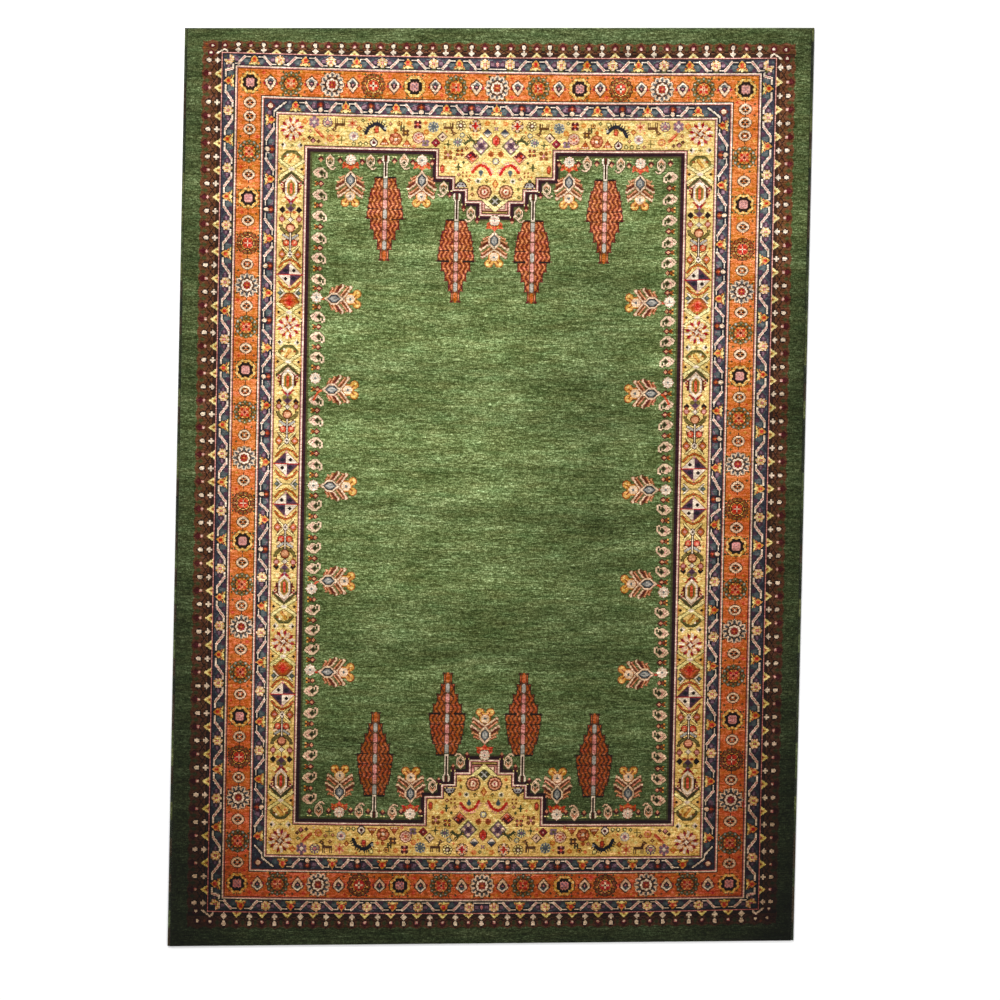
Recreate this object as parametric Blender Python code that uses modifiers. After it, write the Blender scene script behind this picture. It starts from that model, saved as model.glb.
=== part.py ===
"""Hand-knotted wool rug, lying flat: one woven body, and an overcast selvedge cord along each long side.

Metres, +Z up, +Y along the rug's length. The origin is on the floor, under the middle of the bounding box.
Weaving has pulled the rug a little out of square: its four edges are straight but none is parallel to
another. Each edge is given by where it crosses the loom's centre line, and by how far it drifts in a metre.
"""

import math

import bpy
from mathutils import Matrix, Vector

# Driving dimensions
LEFT_EDGE = {"crossing": -1.0305, "drift": 0.0086}  # crossing in x, drift in x for each metre of y
RIGHT_EDGE = {"crossing": 1.0235, "drift": 0.0126}
NEAR_END = {"crossing": -1.4925, "drift": 0.0196}  # crossing in y, drift in y for each metre of x
FAR_END = {"crossing": 1.5013, "drift": 0.0106}
THICKNESS = 0.010  # foundation and pile together
PILE_EDGE_ROUNDING = 0.0025  # the clipped pile's edge, all round
PILE_EDGE_STEPS = 3
SELVEDGE_DIAMETER = 0.009
SELVEDGE_BEVEL_RESOLUTION = 4
JOINT_GAP = 0.0003  # between the body and each selvedge

SELVEDGE_STRIP = SELVEDGE_DIAMETER + JOINT_GAP  # what each selvedge takes from the rug's width

GREEN_WOOL = (0.075, 0.130, 0.045, 1.0)
DARK_GREEN_WOOL = (0.020, 0.036, 0.016, 1.0)


def corner(side, end, inset=0.0):
    """Where a side edge meets an end, the side moved in by inset towards the middle of the rug."""
    crossing = side["crossing"] - math.copysign(inset, side["crossing"])
    y = (end["crossing"] + end["drift"] * crossing) / (1 - side["drift"] * end["drift"])
    x = crossing + side["drift"] * y
    return Vector((x, y, 0.0))


def frame_centre():
    """The middle of the whole rug's bounding box, on the floor."""
    corners = [corner(side, end) for side in (LEFT_EDGE, RIGHT_EDGE) for end in (NEAR_END, FAR_END)]
    middle = Vector((0.0, 0.0, 0.0))
    for axis in range(2):
        places = [point[axis] for point in corners]
        middle[axis] = (min(places) + max(places)) / 2
    return middle


def clear_scene():
    for leftover in list(bpy.data.objects):
        bpy.data.objects.remove(leftover)


def wool(name, colour, roughness):
    material = bpy.data.materials.new(name)
    material.use_nodes = True
    shader = material.node_tree.nodes["Principled BSDF"]
    shader.inputs["Base Color"].default_value = colour
    shader.inputs["Roughness"].default_value = roughness
    shader.inputs["Metallic"].default_value = 0.0
    return material


def poly_curve(name, points, cyclic, dimensions):
    """A curve object of one POLY spline through these points."""
    curve = bpy.data.curves.new(name, "CURVE")
    curve.dimensions = dimensions
    spline = curve.splines.new("POLY")
    spline.points.add(len(points) - 1)
    for spline_point, point in zip(spline.points, points):
        spline_point.co = (*point, 1.0)
    spline.use_cyclic_u = cyclic
    return bpy.data.objects.new(name, curve)


def woven_body(collection, material, centre):
    """The knotted body: its outline filled and raised to the pile's height, with softly clipped edges."""
    outline = [
        corner(LEFT_EDGE, NEAR_END, SELVEDGE_STRIP),
        corner(RIGHT_EDGE, NEAR_END, SELVEDGE_STRIP),
        corner(RIGHT_EDGE, FAR_END, SELVEDGE_STRIP),
        corner(LEFT_EDGE, FAR_END, SELVEDGE_STRIP),
    ]
    body = poly_curve("rug_body", outline, cyclic=True, dimensions="2D")
    body.data.fill_mode = "BOTH"
    body.data.extrude = THICKNESS / 2
    body.data.materials.append(material)
    body.matrix_world = Matrix.Translation(Vector((0.0, 0.0, THICKNESS / 2)) - centre)

    weld = body.modifiers.new("close_caps", "WELD")
    weld.merge_threshold = 0.00005
    rounding = body.modifiers.new("clipped_pile_edge", "BEVEL")
    rounding.width = PILE_EDGE_ROUNDING
    rounding.segments = PILE_EDGE_STEPS
    rounding.limit_method = "ANGLE"
    rounding.angle_limit = math.radians(45)
    collection.objects.link(body)


def selvedge(collection, name, material, centre, side):
    """The cord of overcast warps along one side, lying against the body from end to end."""
    radius = SELVEDGE_DIAMETER / 2
    run = [corner(side, NEAR_END, radius), corner(side, FAR_END, radius)]
    cord = poly_curve(name, run, cyclic=False, dimensions="3D")
    cord.data.bevel_depth = radius
    cord.data.bevel_resolution = SELVEDGE_BEVEL_RESOLUTION
    cord.data.use_fill_caps = True
    cord.data.materials.append(material)
    cord.matrix_world = Matrix.Translation(Vector((0.0, 0.0, radius)) - centre)
    collection.objects.link(cord)


def build():
    clear_scene()
    collection = bpy.data.collections.new("handwoven_rug")
    bpy.context.scene.collection.children.link(collection)
    centre = frame_centre()

    woven_body(collection, wool("wool_pile", GREEN_WOOL, 0.9), centre)
    edge_wool = wool("selvedge_wool", DARK_GREEN_WOOL, 0.85)
    selvedge(collection, "selvedge_left", edge_wool, centre, LEFT_EDGE)
    selvedge(collection, "selvedge_right", edge_wool, centre, RIGHT_EDGE)


build()
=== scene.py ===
"""Looks of a hand-knotted wool rug: its design is charted knot by knot, then raised as clipped pile.

The chart is a grid of yarns, one cell for each knot. A brush draws the design on it from small motifs, each
in its own middle's coordinates. Metres everywhere else, +Z up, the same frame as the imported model.

The places of the motifs were read off the photo by eye, most of them as pixels that a scratch script turned
into knots.
"""

import math

import bpy
import numpy as np
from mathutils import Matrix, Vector


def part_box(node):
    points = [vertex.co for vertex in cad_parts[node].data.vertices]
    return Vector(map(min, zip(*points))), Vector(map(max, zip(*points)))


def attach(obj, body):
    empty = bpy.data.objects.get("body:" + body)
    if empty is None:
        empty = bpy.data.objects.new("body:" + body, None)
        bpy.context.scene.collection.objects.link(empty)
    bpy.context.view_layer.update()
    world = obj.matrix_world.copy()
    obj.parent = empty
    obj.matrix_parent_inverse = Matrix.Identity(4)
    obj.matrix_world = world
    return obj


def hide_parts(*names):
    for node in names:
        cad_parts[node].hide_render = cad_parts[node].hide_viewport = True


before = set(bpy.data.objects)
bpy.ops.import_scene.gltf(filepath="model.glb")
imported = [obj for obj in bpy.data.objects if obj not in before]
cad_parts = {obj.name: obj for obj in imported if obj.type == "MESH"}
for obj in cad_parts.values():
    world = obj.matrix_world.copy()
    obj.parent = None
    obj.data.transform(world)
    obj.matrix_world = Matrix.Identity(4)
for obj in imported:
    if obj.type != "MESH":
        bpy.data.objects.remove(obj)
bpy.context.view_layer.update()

# ------------------------------------------------------------------ the loom
KNOT = 0.003  # one knot, in metres, each way
COLUMNS, ROWS = 679, 999
HALF_ACROSS, HALF_UP = (COLUMNS - 1) / 2, (ROWS - 1) / 2

# Half widths and half lengths of the ivory lines that part the borders, in knots from the rug's middle.
# LINES and FIELD are measured: they come from the same fitted lines as DRAWN_ROWS and DRAWN_COLUMNS, each
# averaged over opposite sides and rounded to whole knots
BAND_EDGE = (321, 480)
LINES = {
    "outer_guard": (301, 466),
    "main_border": (284, 450),
    "inner_guard": (254, 419),
    "yellow_border": (238, 403),
}
LINE_REACH = 2  # how many knots a line and its dark edges reach to either side
FIELD = (206, 367)
STEPS = ((64, 337), (46, 324.5), (32, 311.5), (16, 297.5))  # the stepped medallion: half width, lowest row

# Yarns in sRGB: red, green, blue. Typed from colours that a scratch script averaged and clustered in 27
# regions of the photo and from what was seen in it, then changed by hand in several rounds
YARNS = {
    "border_green": (82, 96, 54),
    "field_green": (107, 124, 72),
    "orange": (224, 132, 72),
    "gold": (232, 178, 96),
    "yellow": (244, 214, 136),
    "lemon": (252, 238, 168),
    "ivory": (248, 232, 205),
    "cream": (244, 216, 180),
    "rose": (226, 164, 150),
    "peach": (234, 174, 132),
    "apricot": (222, 140, 92),
    "coral": (222, 104, 72),
    "scarlet": (205, 62, 42),
    "crimson": (172, 42, 52),
    "maroon": (98, 34, 34),
    "rust": (158, 84, 44),
    "copper": (196, 108, 52),
    "brown": (112, 74, 44),
    "band_brown": (116, 74, 46),
    "walnut": (66, 40, 26),
    "black_brown": (40, 26, 20),
    "olive": (124, 112, 56),
    "moss": (82, 84, 44),
    "navy": (66, 64, 76),
    "ink": (38, 38, 46),
    "teal": (84, 100, 98),
    "slate": (112, 118, 116),
    "silver": (190, 186, 172),
    "plum": (92, 62, 76),
    "mauve": (150, 118, 128),
    "dusk": (52, 28, 34),
}
YARN_NUMBER = {name: number for number, name in enumerate(YARNS)}

chart = np.zeros((ROWS, COLUMNS), np.uint8)


# ------------------------------------------------------------------ the brush
class Motif:
    """A patch of the chart seen from a motif's own middle: x across it and y up it, in knots."""

    def __init__(self, patch, x, y):
        self.patch, self.x, self.y = patch, x, y

    def paint(self, inside, yarn):
        self.patch[inside] = YARN_NUMBER[yarn]

    def at(self, x, y, turn=0.0):
        """The same patch from another middle, turned anticlockwise by turn degrees."""
        across, up = self.x - x, self.y - y
        cos, sin = math.cos(math.radians(turn)), math.sin(math.radians(turn))
        return Motif(self.patch, across * cos + up * sin, up * cos - across * sin)

    def folded(self):
        """Left and right drawn at once."""
        return Motif(self.patch, abs(self.x), self.y)

    def flipped(self):
        return Motif(self.patch, -self.x, self.y)

    def quartered(self):
        return Motif(self.patch, abs(self.x), abs(self.y))

    def petals(self, count, start=0.0):
        """count copies round the middle at once, y outwards and the first at start degrees from up."""
        pitch = 2 * math.pi / count
        turn = np.arctan2(self.x, self.y) - math.radians(start)
        turn = (turn + pitch / 2) % pitch - pitch / 2
        reach = np.hypot(self.x, self.y)
        return Motif(self.patch, reach * np.sin(turn), reach * np.cos(turn))

    def box(self, half_x, half_y, yarn, x=0.0, y=0.0):
        self.paint((abs(self.x - x) <= half_x) & (abs(self.y - y) <= half_y), yarn)

    def diamond(self, half_x, half_y, yarn, x=0.0, y=0.0):
        self.paint(abs(self.x - x) / half_x + abs(self.y - y) / half_y <= 1, yarn)

    def oval(self, half_x, half_y, yarn, x=0.0, y=0.0):
        self.paint(((self.x - x) / half_x) ** 2 + ((self.y - y) / half_y) ** 2 <= 1, yarn)

    def disc(self, radius, yarn, x=0.0, y=0.0):
        self.oval(radius, radius, yarn, x, y)

    def lobes(self, radius, depth, count, yarn, start=0.0):
        """A disc with count round lobes at its rim."""
        turn = np.arctan2(self.x, self.y) - math.radians(start)
        self.paint(np.hypot(self.x, self.y) <= radius + depth * np.cos(count * turn), yarn)

    def hexagon(self, half_x, half_y, shoulder, yarn):
        """Upright sides up to shoulder, then slopes to a point at half_y."""
        slope = (half_y - shoulder) / half_x
        self.paint((abs(self.x) <= half_x) & (abs(self.y) <= half_y - abs(self.x) * slope), yarn)

    def line(self, points, width, yarn):
        for (x0, y0), (x1, y1) in zip(points, points[1:]):
            run, rise = x1 - x0, y1 - y0
            along = ((self.x - x0) * run + (self.y - y0) * rise) / (run * run + rise * rise)
            along = np.clip(along, 0, 1)
            off = np.hypot(self.x - x0 - along * run, self.y - y0 - along * rise)
            self.paint(off <= width / 2, yarn)

    def edged_line(self, points, width, yarn, edge, edge_width):
        self.line(points, width + 2 * edge_width, edge)
        self.line(points, width, yarn)


POINTING = {"up": (0, 1), "down": (0, -1), "out": (1, 0), "in": (-1, 0)}


def patch_of(across, up, reach):
    """The chart's cells within reach of a place, and each cell's own place."""
    first_row = max(0, math.floor(up + HALF_UP - reach))
    first_column = max(0, math.floor(across + HALF_ACROSS - reach))
    patch = chart[first_row:math.ceil(up + HALF_UP + reach) + 1,
                  first_column:math.ceil(across + HALF_ACROSS + reach) + 1]
    rows = np.arange(patch.shape[0])[:, None] + first_row - HALF_UP
    columns = np.arange(patch.shape[1])[None, :] + first_column - HALF_ACROSS
    return patch, columns, rows


def mirrored(across, up, reach, pointing="up", sides=(1, -1), ends=(1, -1)):
    """The same motif in each quarter of the rug, mirrored about its two middle lines."""
    ux, uy = POINTING[pointing]
    for side in sides if across else (1,):
        for end in ends if up else (1,):
            patch, columns, rows = patch_of(side * across, end * up, reach)
            outward, onward = side * columns - across, end * rows - up
            yield Motif(patch, outward * uy - onward * ux, outward * ux + onward * uy)


def border_run(end_or_side, sign, middle, half_width, half_length):
    """A straight run of border: x along it, y outwards from its middle line."""
    span = int(HALF_UP) if end_or_side == "side" else int(HALF_ACROSS)
    rows = np.arange(ROWS)[:, None] - HALF_UP
    columns = np.arange(COLUMNS)[None, :] - HALF_ACROSS
    along, outwards = (rows, sign * columns) if end_or_side == "side" else (columns, sign * rows)
    keep_out = np.nonzero(abs(outwards.ravel() - middle) <= half_width)[0]
    keep_along = np.nonzero(abs(along.ravel()) <= half_length)[0]
    across_slice = slice(keep_out[0], keep_out[-1] + 1)
    along_slice = slice(keep_along[0], keep_along[-1] + 1)
    if end_or_side == "side":
        return Motif(chart[along_slice, across_slice], along[along_slice], outwards[:, across_slice] - middle)
    return Motif(chart[across_slice, along_slice], along[:, along_slice], outwards[across_slice] - middle)


def every_border_run(middle_side, middle_end, half_width, half_side, half_end):
    for sign in (1, -1):
        yield "side", sign, border_run("side", sign, middle_side, half_width, half_side)
        yield "end", sign, border_run("end", sign, middle_end, half_width, half_end)


# ------------------------------------------------------------------ grounds and lines
def whole_chart():
    rows = np.arange(ROWS)[:, None] - HALF_UP
    columns = np.arange(COLUMNS)[None, :] - HALF_ACROSS
    return Motif(chart, columns + 0 * rows, rows + 0 * columns)


def field_shape(grow):
    """The cells of the green field, between the two stepped medallions, grown by some knots."""
    rug = whole_chart()
    across, up = abs(rug.x), abs(rug.y)
    inside = (across <= FIELD[0] + grow) & (up <= FIELD[1] + grow)
    for half_width, lowest in STEPS:
        inside &= ~((across < half_width - grow) & (up > lowest + grow))
    return inside


def lay_grounds():
    rug = whole_chart()
    rug.box(*BAND_EDGE, "border_green")
    grounds = {"outer_guard": "navy", "main_border": "orange",
               "inner_guard": "navy", "yellow_border": "yellow"}
    dark = {"outer_guard": "black_brown", "main_border": "walnut",
            "inner_guard": "walnut", "yellow_border": "brown"}
    for name, (across, up) in LINES.items():
        rug.box(across + LINE_REACH, up + LINE_REACH, dark[name])
        rug.box(across + 1, up + 1, "ivory")
        rug.box(across, up, "rose")
        rug.box(across - 1, up - 1, dark[name])
        rug.box(across - 2, up - 2, grounds[name])
    rug.paint(field_shape(2), "walnut")
    rug.paint(field_shape(1), "rose")
    rug.paint(field_shape(0), "ivory")
    rug.paint(field_shape(-1), "maroon")
    rug.paint(field_shape(-2), "dusk")
    rug.paint(field_shape(-5), "moss")
    rug.paint(field_shape(-7), "field_green")


# ------------------------------------------------------------------ diamond band round the outside
BAND = {"side": (14.74, 31, 20.8), "end": (14.15, 20, 15.4)}  # pitch, how many each way, depth
BAND_REACH = 25
SWAPPED = range(13, 30)  # along the left side, flames and buds change places here


def band_flame(m, depth):
    """A maroon flame with a pale dot under it, over an ivory gable that stands on the line."""
    m.diamond(4.4, 5.0, "walnut", y=depth - 4.8)
    m.diamond(3.5, 4.1, "maroon", y=depth - 4.8)
    dot, height = 0.5 + 0.57 * depth, 0.43 * depth - 2.4
    m.disc(1.7, "rose", y=dot)
    m.disc(1.0, "ivory", y=dot)
    half = m.folded()
    half.paint((m.y >= 0) & (half.x <= 4.6 * (1 - (m.y - 0.8) / height)), "lemon")
    half.paint((m.y >= 0) & (half.x <= 2.6 * (1 - m.y / (0.62 * height))), "gold")
    half.paint((m.y >= 0) & (half.x <= 1.1 * (1 - m.y / (0.4 * height))), "brown")


def band_bud(m, depth):
    """An ivory bud over a four-petalled ivory flower."""
    high, low = 3.6 + 0.46 * depth, 1.6 + 0.125 * depth
    m.diamond(4.2, 5.0, "black_brown", y=high)
    m.oval(2.1, 2.7, "ivory", y=high)
    m.diamond(4.6, 3.8, "black_brown", y=low)
    m.at(0, low).petals(4).oval(1.2, 1.5, "ivory", y=1.7)
    m.diamond(1.6, 1.6, "ivory", y=low)


def diamond_band():
    for kind, sign, run in every_border_run(*LINES["outer_guard"], BAND_REACH, BAND_EDGE[1], BAND_EDGE[0]):
        pitch, count, depth = BAND[kind]
        beside = abs((run.x + pitch / 2) % pitch - pitch / 2)
        inside = (run.y >= 1) & (run.y <= depth + 1.2 - 0.34 * beside)
        run.paint(inside, "band_brown")
        for k in range(-count - 1, count + 1):
            run.at((k + 0.5) * pitch, depth - 5.0).diamond(2.6, 3.4, "moss")
        run.paint(inside & (run.y <= 4.8), "walnut")
        upper = 0.55 * depth + 1.5
        for k in range(-count, count + 1):
            run.at(k * pitch, 0).line([(-pitch, 3.4), (0, upper), (pitch, 3.4)], 1.0, "black_brown")
        for k in range(-count, count + 1):
            flame = (k % 2 == 0) == (kind == "side")
            if kind == "side" and sign < 0 and k in SWAPPED:
                flame = not flame
            (band_flame if flame else band_bud)(run.at(k * pitch, 0.6), depth)
    for m in mirrored(*LINES["outer_guard"], 26):
        for x, y in ((10.4, 9.2), (12.1, -0.4), (-2.9, 9.6)):
            m.disc(3.8, "maroon", x, y)
            m.disc(1.6, "ivory", x, y)
        m.line([(5.2, -0.8), (-2.9, 4.8), (-6.0, 1.8)], 1.8, "ivory")


# ------------------------------------------------------------------ guard borders with a bent stem
STEM_OFF = 4.0  # from the run's middle line to the stem's flats
STEM_ENDS = {1: (3.4, 10.8), -1: (4.8, 9.6)}  # by the side it runs on: a flat's two ends, from the flower


def stem(run, stops):
    """An ivory stem with a rose core that steps from one side of the run to the other between flowers."""
    for (start, side), (stop, next_side) in zip(stops, stops[1:]):
        here, there = side * STEM_OFF, next_side * STEM_OFF
        (gap, flat), (next_gap, next_flat) = STEM_ENDS[side], STEM_ENDS[next_side]
        points = [(start + gap, here), (start + flat, here),
                  (stop - next_flat, there), (stop - next_gap, there)]
        run.line(points, 4.2, "ink")
        run.line(points, 1.7, "ivory")
        if side != next_side:
            run.line(points[1:3], 2.8, "ivory")
            run.line(points[1:3], 1.1, "rose")
        for place, height, turned in ((start + gap, here, side), (stop - next_gap, there, next_side)):
            if turned > 0:
                run.line([(place, height), (place, height - 3.2)], 1.5, "ivory")


def guard_shades(run, stops):
    """Teal and plum leaves that fill the bays of the stem."""
    for place, side in stops:
        half = run.at(place, 0).folded()
        if side > 0:
            half.box(3.2, 3.2, "teal", 8.2, -1.4)
            half.box(1.8, 1.6, "slate", 8.4, -1.0)
            half.box(2.4, 2.0, "plum", 12.8, -4.2)
        else:
            half.box(3.4, 3.0, "plum", 8.2, 1.4)
            half.box(1.8, 1.2, "mauve", 7.8, 1.0)
            half.line([(3.4, 5.6), (7.6, 5.2)], 1.0, "slate")
            half.line([(9.6, 4.0), (12.4, 2.0)], 1.6, "teal")


def guard_orange(m):
    half = m.folded()
    m.box(3.9, 5.8, "ink")
    m.diamond(4.4, 5.2, "gold", y=0.9)
    m.box(1.9, 2.3, "coral", y=1.1)
    m.box(0.9, 1.2, "scarlet", y=1.3)
    half.line([(1.6, -3.0), (5.6, -5.0)], 1.7, "yellow")
    half.line([(3.2, -1.4), (5.2, -2.8)], 1.1, "orange")
    half.line([(4.6, -5.2), (6.8, -5.4)], 1.1, "olive")
    m.disc(1.5, "lemon", y=-4.0)


def guard_cream(m):
    m.disc(6.0, "ink", y=0.6)
    m.box(2.6, 1.6, "moss", y=-5.0)
    m.at(0, 0.8).petals(6).oval(1.7, 2.3, "cream", y=3.4)
    m.at(0, 0.8).petals(6, 30).diamond(0.8, 1.6, "gold", y=4.0)
    m.disc(3.0, "lemon", y=0.8)
    m.disc(1.9, "rose", y=0.8)
    m.at(0, 0.8).petals(4, 45).disc(0.7, "copper", y=1.7)


def guard_ball(m):
    """A red flower with a white ball under it."""
    half = m.folded()
    m.box(4.0, 6.0, "ink")
    half.line([(0.5, 4.6), (3.2, 3.0), (3.4, 0.2)], 1.8, "maroon")
    m.diamond(2.4, 3.0, "rust", y=2.2)
    m.diamond(1.0, 1.6, "coral", y=2.2)
    half.line([(5.4, 2.6), (8.0, 4.2)], 1.3, "mauve")
    m.disc(2.4, "cream", y=-2.8)
    m.disc(0.9, "ivory", y=-2.8)


GUARD_FLOWERS = {"orange": (guard_orange, 1), "cream": (guard_cream, -1), "ball": (guard_ball, -1)}


def guard(run, flowers):
    """Flowers along a run, each by its place, its kind and -1 where it stands the other way up."""
    stops = [(place, GUARD_FLOWERS[kind][1] * turned) for place, kind, turned in flowers]
    guard_shades(run, stops)
    stem(run, stops)
    for place, kind, turned in flowers:
        flower = run.at(place, 0)
        GUARD_FLOWERS[kind][0](Motif(flower.patch, flower.x, flower.y * turned))


OUTER_GUARD = (292.5, 458)  # the guards' middle lines: across, then up
INNER_GUARD = (246, 411)
GUARD_HALF_WIDTH = 6.4


def guard_runs(middle):
    side, end = middle
    return every_border_run(side, end, GUARD_HALF_WIDTH, end, side)


def outer_guard():
    side_pitch, end_pitch, first = 31.1, 27.9, 13.5
    corner = OUTER_GUARD[1]
    for kind, _, run in guard_runs(OUTER_GUARD):
        if kind == "side":
            flowers = [(k * side_pitch, "cream" if k % 2 else "orange", 1) for k in range(-14, 15)]
            flowers = [(-corner, "cream", 1), *flowers, (corner, "cream", 1)]
        else:
            half = [(first + k * end_pitch, "orange" if k % 2 else "cream", 1) for k in range(11)]
            flowers = [(-place, name, 1) for place, name, _ in reversed(half)] + half
        guard(run, flowers)
        if kind == "end":
            middle = run.at(0, 0)
            middle.diamond(3.2, 4.6, "plum", y=1)
            middle.diamond(1.8, 2.6, "rose", y=1)


# The flowers along the sides stand unevenly. These are places read off the photo, in knots up the rug.
INNER_SIDE_FLOWERS = tuple(
    (place, kind, turned) for kind, turned, places in (
        ("orange", -1, (396.2, 331.4, 266.9, 207.4, 147.9, 85.2, 23.1, -39.2)),
        ("ball", -1, (364.1, 298.4, 236.8, 177.7, 116.3, 54.8, -11.5, -71.3)),
        ("cream", 1, (-101.7, -161.9, -225.1, -289.6)),
        ("orange", 1, (-132.8, -194.0, -258.3, -320.5, -382.2)),
        ("ball", 1, (-350.9,)),
    ) for place in places
)


def inner_guard():
    end_pitch = 27.33
    for kind, _, run in guard_runs(INNER_GUARD):
        if kind == "side":
            flowers = sorted(INNER_SIDE_FLOWERS)
        else:
            flowers = [(k * end_pitch, "ball" if k % 2 else "orange", 1) for k in range(-8, 9)]
        guard(run, flowers)
    for end, tail in ((1, [(-4, -11)]), (-1, [(-4, -10), (4, -18.5)])):
        for m in mirrored(*INNER_GUARD, 20, ends=(end,)):
            turn = [(-16.6, 4), (-6.5, -3.5), (-4, -6), *tail]
            m.line(turn, 4.2, "ink")
            m.line(turn, 1.7, "ivory")
            m.diamond(5.0, 5.0, "maroon")
            m.diamond(3.6, 3.6, "rust")
            m.disc(2.4, "cream")


# ------------------------------------------------------------------ main border
def rosette_dark(m):
    m.lobes(11.8, 0.5, 8, "brown", 22.5)
    m.lobes(11.2, 0.6, 8, "gold", 22.5)
    m.petals(8, 22.5).oval(1.6, 1.3, "yellow", y=10.2)
    m.petals(8).diamond(1.0, 1.5, "moss", y=11.8)
    m.lobes(8.4, 0.7, 8, "black_brown", 22.5)
    m.petals(8).disc(0.8, "yellow", y=8.4)
    m.lobes(5.4, 0.4, 8, "walnut", 22.5)
    m.lobes(4.9, 0.5, 4, "rose", 45)
    m.petals(4, 45).disc(0.8, "mauve", y=2.9)
    m.disc(0.8, "mauve")


def rosette_olive(m):
    m.lobes(12.5, 0.6, 12, "brown")
    m.petals(12).oval(2.2, 2.5, "olive", y=10.0)
    m.petals(12).oval(1.1, 1.2, "moss", y=9.0)
    m.petals(12, 15).disc(0.8, "copper", y=9.2)
    m.petals(12).disc(0.8, "silver", y=11.0)
    m.lobes(7.8, 0.4, 12, "walnut")
    m.lobes(6.9, 0.3, 8, "copper")
    m.petals(8, 22.5).diamond(0.9, 1.5, "gold", y=6.0)
    m.petals(4, 45).oval(1.6, 2.4, "scarlet", y=3.5)
    m.petals(4).oval(1.2, 2.0, "peach", y=2.6)
    m.petals(4).box(0.5, 0.9, "coral", y=2.6)
    m.disc(1.1, "walnut")


def rosette_ivory(m):
    m.lobes(13.2, 0.6, 12, "brown")
    m.petals(12).oval(2.9, 3.3, "cream", y=9.8)
    m.lobes(8.6, 0.3, 12, "walnut")
    m.petals(12).oval(1.5, 2.0, "slate", y=10.0)
    m.petals(12).oval(0.7, 0.9, "walnut", y=9.4)
    m.lobes(7.4, 0.4, 8, "brown")
    m.lobes(6.4, 0.5, 8, "ivory")
    m.lobes(4.4, 0.5, 8, "rust")
    m.petals(4, 45).oval(1.0, 1.7, "crimson", y=2.4)
    m.disc(1.2, "orange")


def rosette_rust(m):
    m.lobes(12.8, 0.5, 14, "walnut")
    m.petals(14).oval(2.1, 2.7, "rust", y=10.1)
    m.petals(14).oval(0.9, 1.1, "olive", y=11.0)
    m.petals(7, 25.7).disc(0.8, "gold", y=9.2)
    m.lobes(8.4, 0.4, 8, "walnut")
    m.lobes(7.5, 0.4, 8, "gold")
    m.disc(6.6, "walnut")
    m.disc(5.9, "coral")
    m.petals(4, 45).oval(1.5, 2.1, "scarlet", y=3.5)
    m.petals(4).box(0.8, 1.5, "cream", y=2.3)
    m.petals(4).disc(0.8, "maroon", y=4.6)
    m.disc(0.9, "walnut")


ROSETTES = {"dark": rosette_dark, "olive": rosette_olive, "ivory": rosette_ivory, "rust": rosette_rust}
END_ROSETTES = ("ivory", "olive", "dark", "rust", "ivory", "olive")  # from the middle towards the corner
END_ROSETTE_PITCH = 44.8
SIDE_ROSETTES = (  # places up the rug, read off the photo
    (361, "olive"), (310, "dark"), (261, "rust"), (215, "ivory"), (170, "olive"), (123, "dark"),
    (77, "olive"), (27, "ivory"), (-22, "rust"), (-63, "dark"), (-110, "olive"), (-156, "ivory"),
    (-205, "olive"), (-253, "dark"), (-297, "rust"), (-341, "ivory"), (-388, "olive"),
)
MAIN_BORDER = (269, 434.5)  # its middle line, and the corner rosettes: across, then up
CORNER_RINGS = (413.5, 399.3, 385)  # small rings between the far corner and the first rosette
ROSETTE_REACH, SMALL_REACH = 17, 12


def tulip(m):
    """A slate bud under ivory shoulders, in a cream cup."""
    half = m.folded()
    half.line([(5.0, 3.2), (5.8, 0.4), (0.0, -7.4)], 3.0, "brown")
    half.line([(0.0, 7.4), (5.8, 1.8)], 2.8, "brown")
    half.disc(1.3, "crimson", 6.8, -0.4)
    m.diamond(4.8, 6.8, "walnut", y=0.6)
    half.line([(0.0, 6.8), (5.2, 2.0)], 1.4, "ivory")
    m.diamond(3.2, 3.0, "slate", y=2.8)
    half.line([(4.4, 1.4), (4.0, -1.2), (0.0, -5.8)], 2.3, "cream")
    m.diamond(2.8, 3.6, "walnut", y=0.2)
    m.diamond(2.0, 2.8, "plum", y=0.2)
    m.diamond(0.9, 1.4, "rose", y=0.4)


def small_ring(m):
    """A round open ivory ring with four dark spots in it."""
    m.oval(7.3, 6.4, "brown")
    m.folded().line([(0, 6.0), (0, 8.4)], 1.6, "walnut")
    m.folded().line([(0, -6.0), (0, -8.4)], 1.6, "walnut")
    m.oval(6.4, 5.6, "cream")
    m.oval(4.2, 3.5, "brown")
    m.petals(4).disc(1.3, "black_brown", y=2.5)
    m.petals(4, 45).disc(0.8, "orange", y=2.3)
    m.diamond(1.3, 1.3, "cream")


def border_specks(m):
    for y in (11.5, -11.5):
        m.folded().diamond(1.2, 1.8, "moss", 8.5, y)
        m.folded().diamond(1.2, 1.4, "gold", 11.0, y * 1.08)


def main_border():
    side_middle, end_middle = MAIN_BORDER
    for m in mirrored(side_middle, end_middle, 16):
        rosette_dark(m)
    for k, name in enumerate(END_ROSETTES):
        for m in mirrored(k * END_ROSETTE_PITCH, end_middle, ROSETTE_REACH):
            border_specks(m)
            ROSETTES[name](m)
        for m in mirrored((k + 0.5) * END_ROSETTE_PITCH, end_middle, SMALL_REACH):
            tulip(m)
    places = [place for place, _ in SIDE_ROSETTES] + [-end_middle]
    smalls = list(CORNER_RINGS) + [(a + b) / 2 for a, b in zip(places, places[1:])]
    for side in (1, -1):
        for place, name in SIDE_ROSETTES:
            for m in mirrored(side_middle, place, ROSETTE_REACH, "in", (side,), (1,)):
                border_specks(m)
                ROSETTES[name](m)
        for place in smalls:
            for m in mirrored(side_middle, place, SMALL_REACH, "up", (side,), (1,)):
                small_ring(m)


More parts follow.
